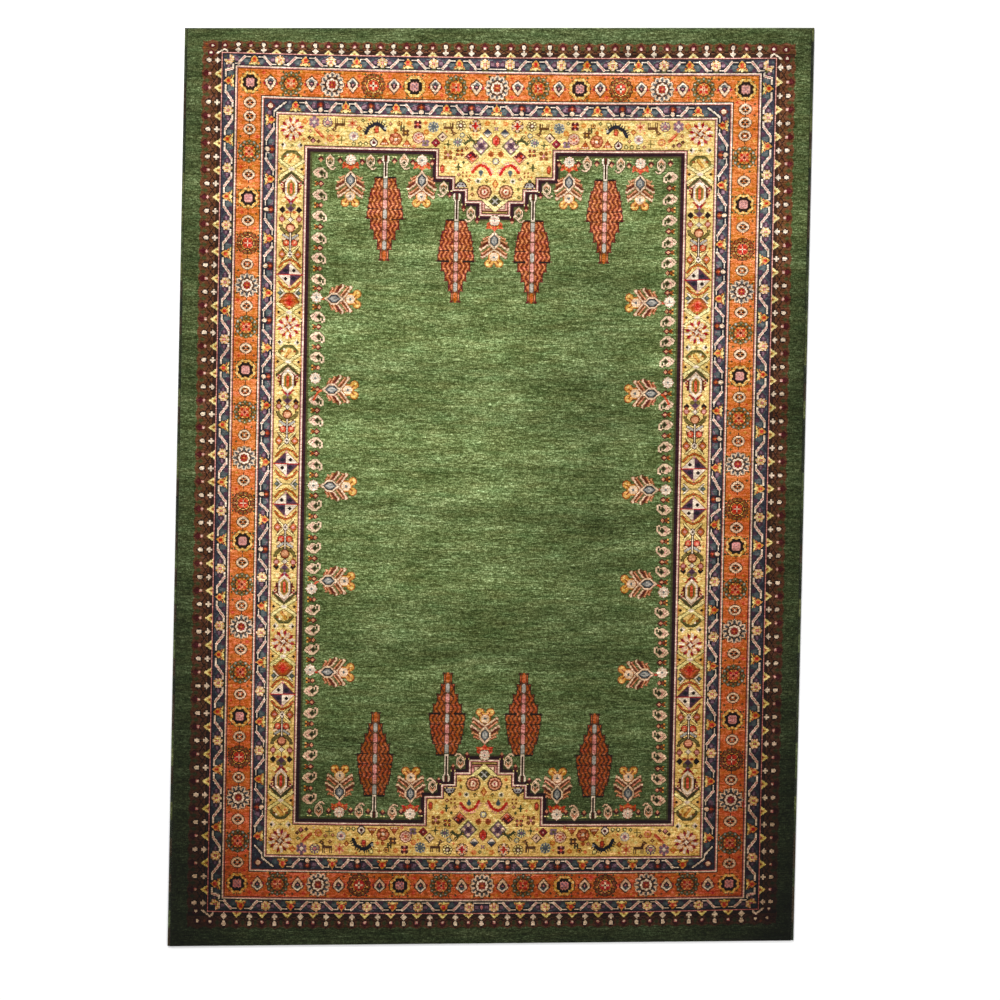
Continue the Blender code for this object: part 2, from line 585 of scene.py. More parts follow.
# ------------------------------------------------------------------ yellow border, long sides
def wheel(m):
    """Eight pale petals, four long and four broad, with red wedges between them."""
    start = -10.0
    m.petals(8, start + 22.5).diamond(3.4, 6.4, "rust", y=7.2)
    m.petals(8, start + 22.5).diamond(2.7, 5.8, "crimson", y=7.2)
    m.petals(8, start).box(2.3, 4.6, "gold", y=8.6)
    m.petals(4, start).box(1.5, 3.7, "ivory", y=9.4)
    m.petals(4, start + 45).oval(2.2, 4.8, "cream", y=7.4)
    m.petals(8, start).box(0.5, 1.6, "rust", y=3.6)
    m.diamond(3.4, 3.4, "brown")
    m.diamond(2.3, 2.3, "ivory")
    m.diamond(0.9, 0.9, "gold")


def leaf_pair(m):
    half = m.folded()
    half.line([(1.0, 0.0), (9.0, 4.5)], 1.6, "lemon")
    half.line([(1.0, 0.0), (9.0, -4.0)], 1.6, "lemon")
    half.diamond(3.6, 3.0, "ivory", 9.0, 0.0)
    half.diamond(2.4, 2.2, "moss", 10.0, 0.4)
    half.diamond(1.1, 1.1, "walnut", 10.4, 0.4)
    m.diamond(2.6, 1.6, "olive")


def arched_bird(m):
    """A bird bent over in an arch, its wings to either side."""
    half = m.folded()
    half.line([(0.0, 6.0), (5.0, 5.4), (9.0, 1.4), (10.4, -2.6)], 3.6, "olive")
    half.line([(1.0, 6.6), (5.6, 5.8), (9.6, 1.6)], 1.2, "moss")
    m.line([(-2.0, 2.0), (3.5, -5.0)], 3.6, "gold")
    m.line([(-3.2, 0.6), (2.0, -5.6)], 1.0, "rust")
    m.line([(0.4, 2.6), (6.0, -4.6)], 1.0, "lemon")
    half.disc(1.4, "rust", 7.2, 0.6)
    m.disc(1.0, "ivory", 4.6, 2.8)


def lattice_cross(m):
    """Pale bands that cross, with an orange corner and a dark seed at either side."""
    half = m.folded()
    half.diamond(3.4, 6.6, "gold", 14.0, 0)
    half.diamond(1.6, 2.2, "walnut", 11.6, 0)
    for slope in (9.0, -9.0):
        half.edged_line([(0, 0), (13.0, slope)], 2.8, "lemon", "olive", 0.8)
    m.diamond(3.6, 2.6, "ivory")


def gable(m):
    """A dark gable with an ivory line under it."""
    half = m.folded()
    half.edged_line([(0.0, 6.4), (12.4, -4.6)], 2.0, "moss", "brown", 0.6)
    half.line([(0.0, 3.4), (12.2, -7.4)], 1.3, "cream")
    half.line([(0.0, 1.8), (10.6, -7.6)], 1.1, "maroon")


def lantern(m):
    """A long ivory six-sided ring round a coral core, with a red comb at either side."""
    half = m.folded()
    for y in (5.0, 1.6, -1.8):
        half.line([(7.5, y - 0.6), (11.0, y + 1.8)], 1.3, "crimson")
    half.line([(7.6, 4.6), (8.8, -4.6)], 1.6, "maroon")
    m.hexagon(7.6, 14.2, 6.0, "brown")
    m.hexagon(6.9, 13.6, 6.0, "ivory")
    m.hexagon(4.3, 9.8, 5.0, "gold")
    m.hexagon(3.0, 8.4, 5.0, "olive")
    m.hexagon(1.9, 6.8, 4.8, "coral")
    half.line([(0.0, -16.6), (6.2, -9.8)], 2.2, "crimson")
    half.disc(3.2, "gold", 7.8, -13.2)
    half.disc(2.5, "lemon", 7.8, -13.2)


def heart(m):
    half = m.folded()
    half.diamond(3.7, 4.2, "black_brown", 9.2, -1.6)
    m.diamond(5.6, 5.6, "mauve", y=1.4)
    half.oval(2.8, 2.8, "olive", 2.6, 2.6)
    m.diamond(3.2, 4.0, "plum", y=0.2)
    half.diamond(3.0, 1.8, "copper", 3.8, -4.0)
    m.line([(0, -3), (0, -8)], 1.4, "brown")


def leaf_flowers(m):
    """Two small brown flowers on a yellow cross with an ivory knot in it."""
    half = m.folded()
    half.line([(0, 0), (6.0, 4.0)], 2.2, "lemon")
    half.line([(0, 0), (6.0, -4.0)], 2.2, "lemon")
    half.diamond(4.0, 5.4, "rust", 9.4, 0.6)
    half.disc(2.2, "rose", 9.4, 0.6)
    m.diamond(4.2, 3.0, "walnut")
    m.diamond(2.4, 2.2, "ivory")


def ball_tulip(m):
    """A round bloom between two big leaves, on a white stem with smaller leaves and two buds."""
    half = m.folded()
    half.edged_line([(1.0, -5.4), (6.0, -4.6), (9.2, -1.4), (10.6, 2.0)], 2.4, "olive", "walnut", 0.8)
    m.disc(5.3, "walnut", y=-0.2)
    m.disc(4.5, "rust", y=-0.2)
    m.disc(3.6, "peach", y=-0.8)
    half.edged_line([(1.6, -11.8), (7.8, -8.0)], 2.4, "silver", "brown", 0.6)
    half.line([(1.0, -15.0), (8.6, -11.4)], 1.6, "cream")
    half.line([(9.4, -12.6), (6.4, -19.0), (2.0, -21.0)], 1.4, "brown")
    half.disc(3.9, "maroon", 4.4, -16.6)
    half.disc(3.1, "coral", 4.5, -16.4)
    half.disc(1.5, "peach", 4.8, -15.8)
    m.line([(0, -6.6), (0, -25.0)], 3.0, "walnut")
    m.line([(0, -6.6), (0, -25.0)], 1.3, "ivory")


def leaf_cross(m):
    """A small ivory diamond between two brown leaf blocks, over a brown cross."""
    half = m.folded()
    m.quartered().edged_line([(0, 0), (9, 8.5)], 1.6, "lemon", "brown", 0.5)
    half.diamond(4.9, 6.6, "brown", 8.8, 0)
    half.diamond(3.8, 5.0, "copper", 8.8, 0)
    half.diamond(1.9, 2.2, "rose", 8.6, 0)
    m.diamond(3.8, 4.4, "walnut")
    m.diamond(3.2, 3.7, "ivory")
    m.diamond(1.3, 1.5, "walnut")


def quartered_disc(m):
    """Two plum and two ivory quarters either side of an orange line, framed by a gable above and below."""
    m.quartered().edged_line([(0, 16.6), (7.0, 13.4), (11.6, 8.0)], 2.0, "copper", "brown", 0.5)
    m.diamond(14.0, 14.2, "rust")
    inside = abs(m.x) / 13.0 + abs(m.y) / 13.2 <= 1
    m.paint(inside, "ivory")
    m.paint(inside & (m.x * m.y > 0), "plum")
    for across, up in ((-1, 1), (1, -1)):
        m.diamond(2.4, 2.4, "black_brown", across * 4.4, up * 4.2)
        m.diamond(3.2, 2.8, "ink", -across * 4.2, up * 4.2)
    m.line([(-14.0, 0), (14.0, 0)], 1.4, "scarlet")
    m.quartered().diamond(2.2, 2.4, "rose", 0.0, 12.6)


def wings(m):
    """Two slate leaves with ivory tips on a thin stalk across the border."""
    half = m.folded()
    half.line([(0, 0), (12.0, 0)], 1.3, "moss")
    half.edged_line([(5.4, 0), (10.6, 5.0)], 1.6, "ivory", "olive", 0.6)
    half.edged_line([(5.4, 0), (10.6, -5.0)], 1.6, "ivory", "olive", 0.6)
    half.diamond(3.6, 3.4, "moss", 10.2, 0)
    half.diamond(2.0, 1.8, "slate", 10.2, 0)


def lily(m):
    """A broad orange-red bloom that narrows to a looped stem."""
    half = m.folded()
    half.line([(0.0, 9.0), (5.6, 6.0), (9.4, 0.0)], 4.0, "rust")
    half.paint((m.y <= 8.6) & (m.y >= -6) & (half.x <= 9.8 - abs(m.y - 0.6) * 0.9), "copper")
    half.paint((m.y <= 7.0) & (m.y >= -4) & (half.x <= 6.4 - abs(m.y - 1.4) * 0.8), "coral")
    m.diamond(3.0, 5.4, "scarlet", y=1.0)
    half.line([(2.4, 2.4), (6.0, 0.4)], 1.0, "rust")
    m.disc(3.8, "rust", y=-8.0)
    m.disc(2.8, "gold", y=-7.6)
    m.disc(1.3, "scarlet", y=-7.0)


YELLOW_MIDDLE, YELLOW_HALF_WIDTH = 222, 14
OUT_OF_REACH = 99.0
YELLOW_SIDES = (  # from the far end to the middle, mirrored to the near end
    (387, wheel), (369, leaf_pair), (356, arched_bird), (343, lattice_cross), (333, gable), (322, lantern),
    (300, heart), (288, leaf_flowers), (279, ball_tulip), (250, leaf_cross), (228, quartered_disc),
    (208, wings), (198, lily), (187, lattice_cross), (171, wheel), (154, leaf_pair), (144, arched_bird),
    (133, lattice_cross), (123, gable), (112, lantern), (91, heart), (84, leaf_flowers), (76, ball_tulip),
    (47, leaf_cross), (22, quartered_disc),
)


def yellow_sides():
    for place, draw in (*YELLOW_SIDES, (0, wings)):
        for m in mirrored(YELLOW_MIDDLE, place, 27):
            inside = abs(m.x) <= YELLOW_HALF_WIDTH
            draw(Motif(m.patch, np.where(inside, m.x, OUT_OF_REACH), m.y))


# ------------------------------------------------------------------ small figures of the yellow ends
def goat(m, yarn, turn=0.0):
    """A goat with its back down the rug and its legs towards the edge, its head turned low."""
    m = m.at(0, 0, turn)
    m.box(5.4, 1.5, yarn, y=0.6)
    for x in (-4.8, -2.6, 3.0, 5.0):
        m.line([(x, 1), (x, 6.4)], 1.1, yarn)
    m.line([(-3.4, 0), (-5.4, -4.4)], 2.6, yarn)
    m.diamond(3.4, 2.0, yarn, -6.2, -5.0)
    m.line([(-7.6, -5.6), (-4.0, -8.0)], 1.1, yarn)
    m.disc(0.7, "gold", -6.0, -4.8)


def flipped_goat(m):
    goat(m.flipped(), "brown")


def dotted_flower(m, middle, ring, radius, count):
    m.petals(count).disc(radius * 0.27, ring, y=radius * 0.75)
    m.petals(count, 180 / count).disc(0.7, "lemon", y=radius * 0.7)
    m.disc(radius * 0.5, ring)
    m.disc(radius * 0.33, middle)


def ringed(m, yarns, radius, step):
    for k, yarn in enumerate(yarns):
        m.lobes(radius - k * step, 0.2, 8, yarn)


def nested_diamond(m, yarns, half_x, half_y, step=1.4):
    for k, yarn in enumerate(yarns):
        m.diamond(half_x - k * step, half_y - k * step * half_y / half_x, yarn)


def spoked_disc(m):
    m.disc(6.9, "brown")
    m.petals(8).oval(1.5, 2.2, "cream", y=4.4)
    m.petals(4, 45).oval(1.1, 1.6, "gold", y=4.8)
    m.petals(4).box(1.0, 1.6, "scarlet", y=2.2)
    m.disc(1.8, "scarlet")


def toothed_arch(m, yarn, tooth_yarn, points, width):
    """An arch with teeth along its outer side."""
    tooth = width * 1.15
    for (x0, y0), (x1, y1) in zip(points, points[1:]):
        count = max(1, round(math.hypot(x1 - x0, y1 - y0) / 2.6))
        normal = Vector((y0 - y1, x1 - x0)).normalized()
        for k in range(count):
            x, y = x0 + (x1 - x0) * (k + 0.5) / count, y0 + (y1 - y0) * (k + 0.5) / count
            m.line([(x, y), (x + normal.x * tooth, y + normal.y * tooth)], 1.3, tooth_yarn)
    m.line(points, width, yarn)


def peacock(m):
    toothed_arch(m, "ink", "ink", [(-10.4, -1.0), (-6.3, 3.1), (0.0, 5.2), (7.3, 1.0), (10.4, -5.2)], 3.8)
    m.oval(3.0, 4.2, "rust", -1.2, -1.2)
    m.oval(1.7, 2.8, "coral", -1.2, -1.6)
    m.disc(1.5, "silver", -10.6, 0.4)


def fan(m):
    m.diamond(5.4, 5.4, "brown")
    m.diamond(4.6, 4.6, "ivory")
    m.paint((m.y >= 0) & (abs(m.x) + m.y <= 5.0), "navy")
    m.paint((m.y >= -0.5) & (m.y < 1.2) & (abs(m.x) <= 3.2), "slate")


def four_diamonds(m):
    """A plum diamond with four pale dots, in an olive edge and a pale one."""
    m.diamond(12.4, 12.8, "lemon")
    m.diamond(10.0, 10.6, "olive")
    m.diamond(8.6, 9.2, "mauve")
    m.diamond(3.6, 3.8, "plum")
    m.petals(4).disc(1.8, "cream", y=5.2)
    m.petals(4, 45).disc(0.8, "brown", y=3.6)


def curled_square(m):
    """A dark red square with a coral curl in it."""
    m.diamond(8.2, 7.6, "brown")
    m.diamond(7.2, 6.6, "peach")
    m.diamond(6.8, 5.4, "maroon", 0.6, 1.0)
    m.diamond(3.4, 3.2, "coral", -0.8, -1.8)
    m.diamond(1.8, 1.8, "scarlet", 1.6, 2.0)
    m.disc(1.0, "rose", -1.2, -2.0)
    m.disc(0.9, "rose", 3.6, 1.2)


def dark_star(m):
    m.quartered().line([(0, 0), (3.4, 0)], 1.0, "moss")
    m.quartered().line([(0, 0), (0, 4.0)], 1.0, "moss")
    m.diamond(2.4, 2.4, "moss")


def rose_rings(m):
    ringed(m, ("brown", "peach", "rust", "cream", "crimson"), 8.2, 1.7)


def last_diamond(m):
    """The star in the lowest step, over a yellow gable and two ivory corners."""
    m.box(14.4, 7.4, "brown", y=-4.4)
    m.box(13.4, 7.4, "rose", y=-3.0)
    m.box(11.8, 8.4, "brown", y=-0.8)
    half = m.folded()
    half.paint((half.x <= 10.8) & (m.y >= -8.4) & (m.y <= -2.0 - 0.2 * half.x), "cream")
    half.line([(0.0, -9.6), (12.6, 1.2)], 4.6, "brown")
    half.line([(0.0, -9.6), (12.6, 1.2)], 3.0, "lemon")
    m.paint((m.y > 1.6) & (abs(m.x) <= 14.4), "yellow")
    m.diamond(9.6, 8.2, "lemon")
    m.diamond(7.6, 6.4, "walnut")
    m.diamond(6.6, 5.4, "moss")
    m.petals(4, 45).oval(0.9, 2.4, "silver", y=2.0)
    m.petals(4).disc(0.8, "walnut", y=3.2)


def step_dome(m):
    m.paint((m.y >= -4) & (np.hypot(m.x, m.y + 4) <= 6.6), "walnut")
    m.paint((m.y >= -4) & (np.hypot(m.x, m.y + 4) <= 4.8), "silver")
    m.at(0, -4).petals(6, 30).disc(1.0, "plum", y=3.2)
    m.diamond(2.2, 1.8, "moss", y=3.4)


def gable_arch(m):
    m.paint((m.y >= -4) & (abs(m.x) * 1.5 + m.y <= 4.6), "rust")
    m.paint((m.y >= -4) & (abs(m.x) * 1.5 + m.y <= 2.6), "copper")
    for x in (-2.2, 0.0, 2.2):
        m.disc(0.9, "cream", x, -2.8)


def big_rosette(m):
    m.diamond(2.6, 3.2, "copper", y=9.6)
    ringed(m, ("rust", "apricot", "peach", "rust", "gold"), 7.2, 1.3)
    m.petals(4, 45).oval(1.2, 1.8, "rust", y=4.6)
    m.disc(1.6, "ivory")


def four_dots(m, yarn, off, radius, middle=None):
    m.petals(4, 45).disc(radius, yarn, y=off * 1.2)
    if middle:
        m.disc(radius * 0.8, middle)


def drop(m, yarns, half_x, half_y, turn=0.0):
    """A drop that points up, in nested yarns."""
    m = m.at(0, 0, turn)
    for k, yarn in enumerate(yarns):
        size = 1 - 0.28 * k
        m.disc(half_x * size, yarn, y=-half_y * 0.3)
        point = half_x * size * (half_y * size - m.y) / half_y / 1.3
        m.paint((m.y >= -half_y * 0.3) & (abs(m.x) <= point), yarn)


def dots_round(m, count, start, radius, yarn, off):
    m.petals(count, start).disc(radius, yarn, y=off)


def end_band():
    """The small creatures and flowers that fill the yellow border beyond the field."""
    figures = (  # place across and up, read off the photo, then the drawing and what it is given
        (208, 395.5, nested_diamond, ("orange", "gold"), 3.6, 3.8),
        (198, 395, dotted_flower, "ivory", "mauve", 6.4, 6),
        (198, 395, dots_round, 6, 30, 1.1, "rose", 4.6),
        (183.5, 394.8, Motif.lobes, 5.6, 0.3, 10, "rust"),
        (183.5, 394.8, dotted_flower, "rose", "mauve", 5.4, 10),
        (170.3, 392.6, flipped_goat),
        (156.3, 394.5, dotted_flower, "scarlet", "peach", 5.6, 6),
        (156.3, 394.5, Motif.disc, 2.6, "apricot"),
        (156.3, 394.5, Motif.disc, 1.0, "scarlet"),
        (149, 389, nested_diamond, ("rust", "copper", "gold"), 3.8, 3.8),
        (154.9, 380.8, ringed, ("silver", "ivory", "ivory", "rose", "mauve"), 5.0, 0.9),
        (154.7, 372.8, ringed, ("olive", "lemon"), 2.4, 1.1),
        (147.5, 372.8, ringed, ("olive", "lemon"), 2.4, 1.1),
        (141.5, 372.8, ringed, ("olive", "lemon"), 2.4, 1.1),
        (192, 382.4, Motif.line, [(4.6, 4.6), (0.4, 1.0), (-4.0, -3.8)], 3.4, "apricot"),
        (192, 382.4, Motif.line, [(3.6, 2.6), (0.0, -0.6), (-3.0, -3.6)], 1.4, "scarlet"),
        (180, 377.7, ringed, ("orange", "peach", "gold"), 4.2, 1.1),
        (168.4, 375.9, little_cross, "olive", 4.4),
        (203, 377.6, nested_diamond, ("walnut", "rust"), 2.4, 2.6),
        (199, 374.6, nested_diamond, ("maroon", "rose"), 3.4, 3.4),
        (193, 374.2, Motif.diamond, 2.2, 2.2, "brown"),
        (185, 371.8, Motif.disc, 1.2, "cream"),
        (131.3, 389.4, peacock),
        (132.9, 375.5, drop, ("walnut", "ivory", "maroon"), 4.6, 4.8),
        (121.2, 376, gable_arch),
        (109.3, 378.4, big_rosette),
        (97, 374.6, gable_arch),
        (122, 397.1, ringed, ("olive", "lemon"), 2.6, 1.1),
        (105.3, 395.4, ringed, ("brown", "gold", "brown"), 3.0, 1.0),
        (102, 390.4, four_dots, "moss", 1.8, 1.4, "brown"),
        (98.6, 385.6, four_dots, "brown", 2.4, 1.8, "gold"),
        (95, 396, ringed, ("gold", "orange", "gold"), 3.0, 1.0),
        (85.5, 394.8, four_dots, "maroon", 2.8, 2.1, "coral"),
        (85.5, 394.8, dots_round, 4, 0, 0.9, "rose", 3.4),
        (84.4, 380.7, ringed, ("rust", "cream", "rose", "cream", "peach", "coral"), 6.8, 1.1),
        (84.4, 380.7, dots_round, 6, 0, 0.7, "crimson", 3.4),
        (75.9, 386.9, ringed, ("orange", "gold"), 3.0, 1.2),
        (76.6, 374.8, four_dots, "mauve", 2.2, 1.9, "olive"),
        (68.3, 392.6, Motif.lobes, 5.8, 0.4, 8, "silver"),
        (68.3, 392.6, dotted_flower, "slate", "slate", 5.4, 8),
        (89, 371, ringed, ("orange", "peach"), 2.2, 1.0),
        (65.4, 375.4, nested_diamond, ("maroon", "crimson", "maroon", "rose"), 5.4, 5.4, 1.3),
        (58.3, 381.8, nested_diamond, ("walnut", "cream", "cream", "maroon"), 6.0, 6.0, 1.4),
        (52.3, 391, goat, "brown"),
        (38.6, 394.6, Motif.lobes, 5.6, 0.3, 8, "brown"),
        (38.6, 394.6, dots_round, 8, 0, 1.0, "lemon", 3.9),
        (38.6, 394.6, Motif.disc, 1.5, "ivory"),
        (22.9, 394.4, spoked_disc),
        (9.9, 397.4, ringed, ("gold", "orange", "gold"), 3.2, 1.0),
        (0, 391.5, four_dots, "mauve", 1.4, 0.9, "rose"),
        (16.3, 372.6, four_diamonds),
        (9.3, 386.4, fan),
        (0, 378.6, Motif.hexagon, 4.8, 7.0, 2.6, "brown"),
        (0, 378.6, Motif.hexagon, 3.9, 6.0, 2.2, "coral"),
        (0, 378.6, Motif.hexagon, 1.9, 4.0, 1.4, "scarlet"),
        (0, 378.6, Motif.disc, 0.8, "rose", 0.0, 1.6),
        (30, 377.3, goat, "moss", -38),
        (41.8, 376.5, Motif.disc, 4.6, "silver"),
        (41.8, 376.5, dotted_flower, "mauve", "slate", 4.6, 8),
        (36.9, 384.2, ringed, ("olive", "silver", "lemon"), 3.2, 0.9),
        (52.3, 373.8, dark_star),
        (5.2, 363.9, ringed, ("copper", "rust"), 3.4, 1.0),
        (0, 356.2, ringed, ("brown", "silver", "lemon"), 4.0, 1.1),
        (26.1, 360.2, curled_square),
        (39.2, 365.2, four_dots, "brown", 2.6, 2.0, "gold"),
        (39.2, 365.2, dots_round, 4, 45, 0.7, "coral", 3.1),
        (51.9, 362.4, four_dots, "rust", 3.2, 2.2, "rose"),
        (51.9, 362.4, dots_round, 4, 45, 0.8, "olive", 3.8),
        (35, 354.4, Motif.diamond, 2.0, 2.0, "moss"),
        (40.5, 349.3, dark_star),
        (14.4, 347.4, toothed_arch, "scarlet", "rose",
         [(-9.4, -6.0), (-4.8, 2.0), (1.4, 4.6), (6.0, 2.6), (10.4, -3.4)], 3.2),
        (16.0, 342.6, drop, ("slate", "teal"), 2.6, 4.0, 180),
        (18.9, 334.6, ringed, ("lemon", "ivory", "moss"), 3.6, 1.0),
        (9.6, 334.7, nested_diamond, ("olive", "gold"), 2.6, 2.8, 1.6),
        (0, 331.2, nested_diamond, ("copper", "gold"), 3.6, 5.4, 1.5),
        (11.8, 322.6, rose_rings),
        (25.1, 326, Motif.diamond, 1.8, 2.8, "olive"),
        (37.3, 331.8, step_dome),
        (33.5, 341.6, four_dots, "rust", 2.4, 1.0),
        (57.8, 347.1, Motif.oval, 2.8, 5.0, "rust"),
        (57.8, 347.1, Motif.oval, 1.4, 3.4, "coral"),
        (51, 348, Motif.diamond, 2.6, 3.6, "lemon"),
    )
    for m in mirrored(0, 312.6, 16):
        last_diamond(m)
    for across, up, draw, *given in figures:
        for m in mirrored(across, up, 16):
            draw(m, *given)


# ------------------------------------------------------------------ field
PALMETTE_FRONDS = (  # foot, tip, width and yarn, from the diamond's side down to the crown
    ((6.4, -4.2), (11.4, -1.4), 1.1, "peach"),
    ((6.2, -1.2), (13.4, 3.0), 1.3, "peach"),
    ((6.0, 4.0), (14.6, 10.2), 1.6, "cream"),
    ((4.0, 7.4), (12.8, 14.6), 1.1, "peach"),
    ((1.5, 10.6), (12.8, 18.6), 1.7, "cream"),
)


def palmette(m, with_flower=True):
    """A framed diamond between fronds, with a golden crown, and a flower at its foot where it has one."""
    half = m.folded()
    # fronds
    half.line([(5.4, 1.6), (13.6, 7.4)], 5.4, "brown")
    half.line([(3.4, 8.4), (12.6, 15.2)], 4.6, "brown")
    half.line([(7.0, 2.4), (13.2, 6.8)], 1.6, "maroon")
    half.line([(6.2, 9.2), (12.4, 14.0)], 1.5, "moss")
    for foot, tip, width, yarn in PALMETTE_FRONDS:
        half.line([foot, tip], width + 1.2, "rust")
        half.line([foot, tip], width, yarn)
        half.line([tip, (tip[0] + 0.9, tip[1] - 1.2)], width, yarn)
    # crown
    half.disc(4.7, "rust", 5.6, 24.8)
    m.oval(6.5, 6.2, "rust", y=18.2)
    half.disc(3.9, "gold", 5.6, 24.8)
    m.oval(5.8, 5.6, "gold", y=18.2)
    half.disc(1.6, "yellow", 7.0, 25.6)
    m.oval(4.8, 4.8, "cream", y=17.6)
    half.line([(2.8, 22.0), (5.0, 24.4)], 1.7, "rust")
    m.disc(1.3, "slate", y=17.8)
    # diamond
    m.hexagon(6.9, 11.4, 3.2, "brown")
    m.hexagon(6.3, 10.6, 3.0, "cream")
    m.hexagon(4.7, 7.6, 2.4, "black_brown")
    m.hexagon(3.8, 6.2, 2.0, "slate")
    m.oval(2.2, 4.0, "silver")
    m.oval(1.0, 1.6, "slate", y=1.6)
    if not with_flower:
        return
    # flower
    flower = -22.0
    half.disc(3.4, "coral", 5.4, flower + 5.4)
    m.diamond(4.6, 4.6, "coral", y=flower + 7.0)
    half.line([(0.0, flower + 9.8), (4.6, flower + 7.8), (8.8, flower + 8.6)], 1.5, "coral")
    half.disc(1.3, "rust", 6.4, flower + 5.2)
    half.disc(1.0, "gold", 3.6, flower + 7.4)
    white_flower(m.at(0, flower))


def cypress(m, trunk, body, shade):
    """Trunk from y = 0, then a body in tiers of wavy fronds round a column of beads, tapering to a point."""
    ground, light, dark = shade
    along = (m.y - trunk) / body
    tier = np.floor(along * len(CYPRESS_TIERS)).clip(0, len(CYPRESS_TIERS) - 1).astype(int)
    within = (m.y - trunk) * len(CYPRESS_TIERS) / body - tier
    width = np.array(CYPRESS_TIERS)[tier] + np.where(tier < 4, 1.5 * within - 0.4, -1.0 * within)
    inside = (along >= 0) & (along <= 1) & (abs(m.x) <= width)
    m.paint((along >= 0) & (along <= 1) & (abs(m.x) <= width + 1.0), dark)
    m.paint(inside, ground)
    wave = abs(m.x) + 1.4 * np.cos(2 * math.pi * within)
    m.paint(inside & (wave % 4.7 < 1.1), dark)
    m.paint(inside & ((wave - 2.1) % 4.7 < 1.4), light)
    m.paint((along >= 0) & (along <= 1) & (within > 0.9) & (abs(abs(m.x) - width) <= 2.4), dark)
    for spike, reach in CYPRESS_SPIKES:
        high = m.y - trunk - spike * body
        m.paint((abs(high) <= 0.6) & (abs(m.x) <= reach) & (abs(m.x) > 7), "black_brown")
    m.paint((along >= -0.012) & (along <= 0.006) & (abs(m.x) <= 10.5), "black_brown")
    # beads
    m.paint(inside & (abs(m.x) <= 2.8), "brown")
    bead = inside & (within >= 0.07) & (abs(m.x) <= 2.1 - 0.9 * (abs(within - 0.53) > 0.38))
    m.paint(bead, "silver")
    m.paint(bead & (tier % 3 != 0), "rose")
    m.paint(bead & (tier == len(CYPRESS_TIERS) - 1), "copper")
    # trunk, forked where it starts
    half = m.folded()
    half.line([(1.5, trunk), (1.3, 10.0), (2.8, 6.0), (2.8, 1.6)], 3.0, "moss")
    m.box(2.4, trunk / 2 - 5, "ivory", y=trunk / 2 + 5)
    half.line([(1.5, trunk), (1.3, 10.0), (2.8, 6.0), (2.8, 1.6)], 1.5, "ivory")
    m.box(0.5, trunk / 2 - 2, "walnut", y=trunk / 2)
    m.box(1.2, 3.0, "maroon", y=3.6)


def boteh(m):
    """A leaf that points to the border, its tail curled round towards the rug's middle."""
    leaf = [(4.6, 3.6), (-0.7, 5.2), (-6.4, -0.4), (-0.6, -5.2), (3.4, -4.4)]
    tail = [(3.4, -4.4), (8.0, 0.4), (8.0, 4.8), (5.2, 5.6)]
    m.line(leaf, 3.2, "moss")
    m.line(tail, 2.9, "moss")
    m.oval(5.4, 4.6, "cream", -0.8, 0)
    for k in range(3):
        top, foot = (-4.8 + 1.9 * k, 1.0 + 1.2 * k), (-2.6 + 1.9 * k, -2.8 + 1.2 * k)
        m.line([top, foot], 1.1, "rose" if k else "brown")
    m.line([(4.6, 3.6), (4.9, -1.6), (3.4, -4.4)], 1.4, "cream")
    m.diamond(3.4, 3.6, "moss", 2.6, 0.0)
    m.diamond(1.7, 1.8, "black_brown", 2.6, 0.0)
    m.line(leaf, 1.3, "cream")
    m.line(tail, 1.5, "cream")
    m.disc(1.0, "black_brown", 5.6, 2.6)


def standing_boteh(m):
    """The same leaf upright, its tip to the border and its tail curled over to the right."""
    left = [(0.0, -8.0), (-4.0, -3.0), (-4.2, 0.8), (-2.4, 4.6), (0.6, 7.4), (3.4, 8.0), (5.4, 6.2)]
    right = [(0.0, -8.0), (3.8, -3.4), (4.0, 0.4), (2.4, 3.8), (-0.6, 5.4)]
    m.line(left, 3.0, "moss")
    m.line(right, 3.0, "moss")
    m.oval(3.8, 5.4, "moss", 0, -0.8)
    m.folded().line([(0, -5.6), (2.4, -2.4)], 1.4, "peach")
    m.diamond(3.3, 3.6, "cream", 0, 0.8)
    m.diamond(2.3, 2.5, "moss", 0, 1.0)
    m.disc(0.9, "black_brown", 0, 1.0)
    m.line(left, 1.4, "cream")
    m.line(right, 1.4, "cream")


def small_bloom(m):
    """A rose square towards the field, a rust one towards the border with two gold dots."""
    m.diamond(3.6, 3.6, "maroon", 0, 2.0)
    m.diamond(3.4, 3.4, "walnut", 0, -2.0)
    m.diamond(2.0, 2.0, "rust", 0, -1.8)
    m.diamond(2.0, 2.0, "peach", 0, 2.3)
    m.folded().disc(1.1, "gold", 2.0, -4.0)


def dot_bloom(m):
    """A rose diamond with a dark one behind it and two pale dots."""
    m.diamond(3.0, 3.8, "maroon", 0, 0.0)
    m.diamond(1.7, 1.7, "peach", 0, 1.7)
    m.folded().disc(1.0, "lemon", 1.9, -4.0)


def white_flower(m):
    m.disc(6.3, "moss")
    m.disc(5.4, "peach")
    m.petals(8).oval(1.5, 2.3, "ivory", y=3.7)
    m.disc(2.9, "rose")
    m.disc(2.3, "ivory")
    m.disc(1.0, "slate")
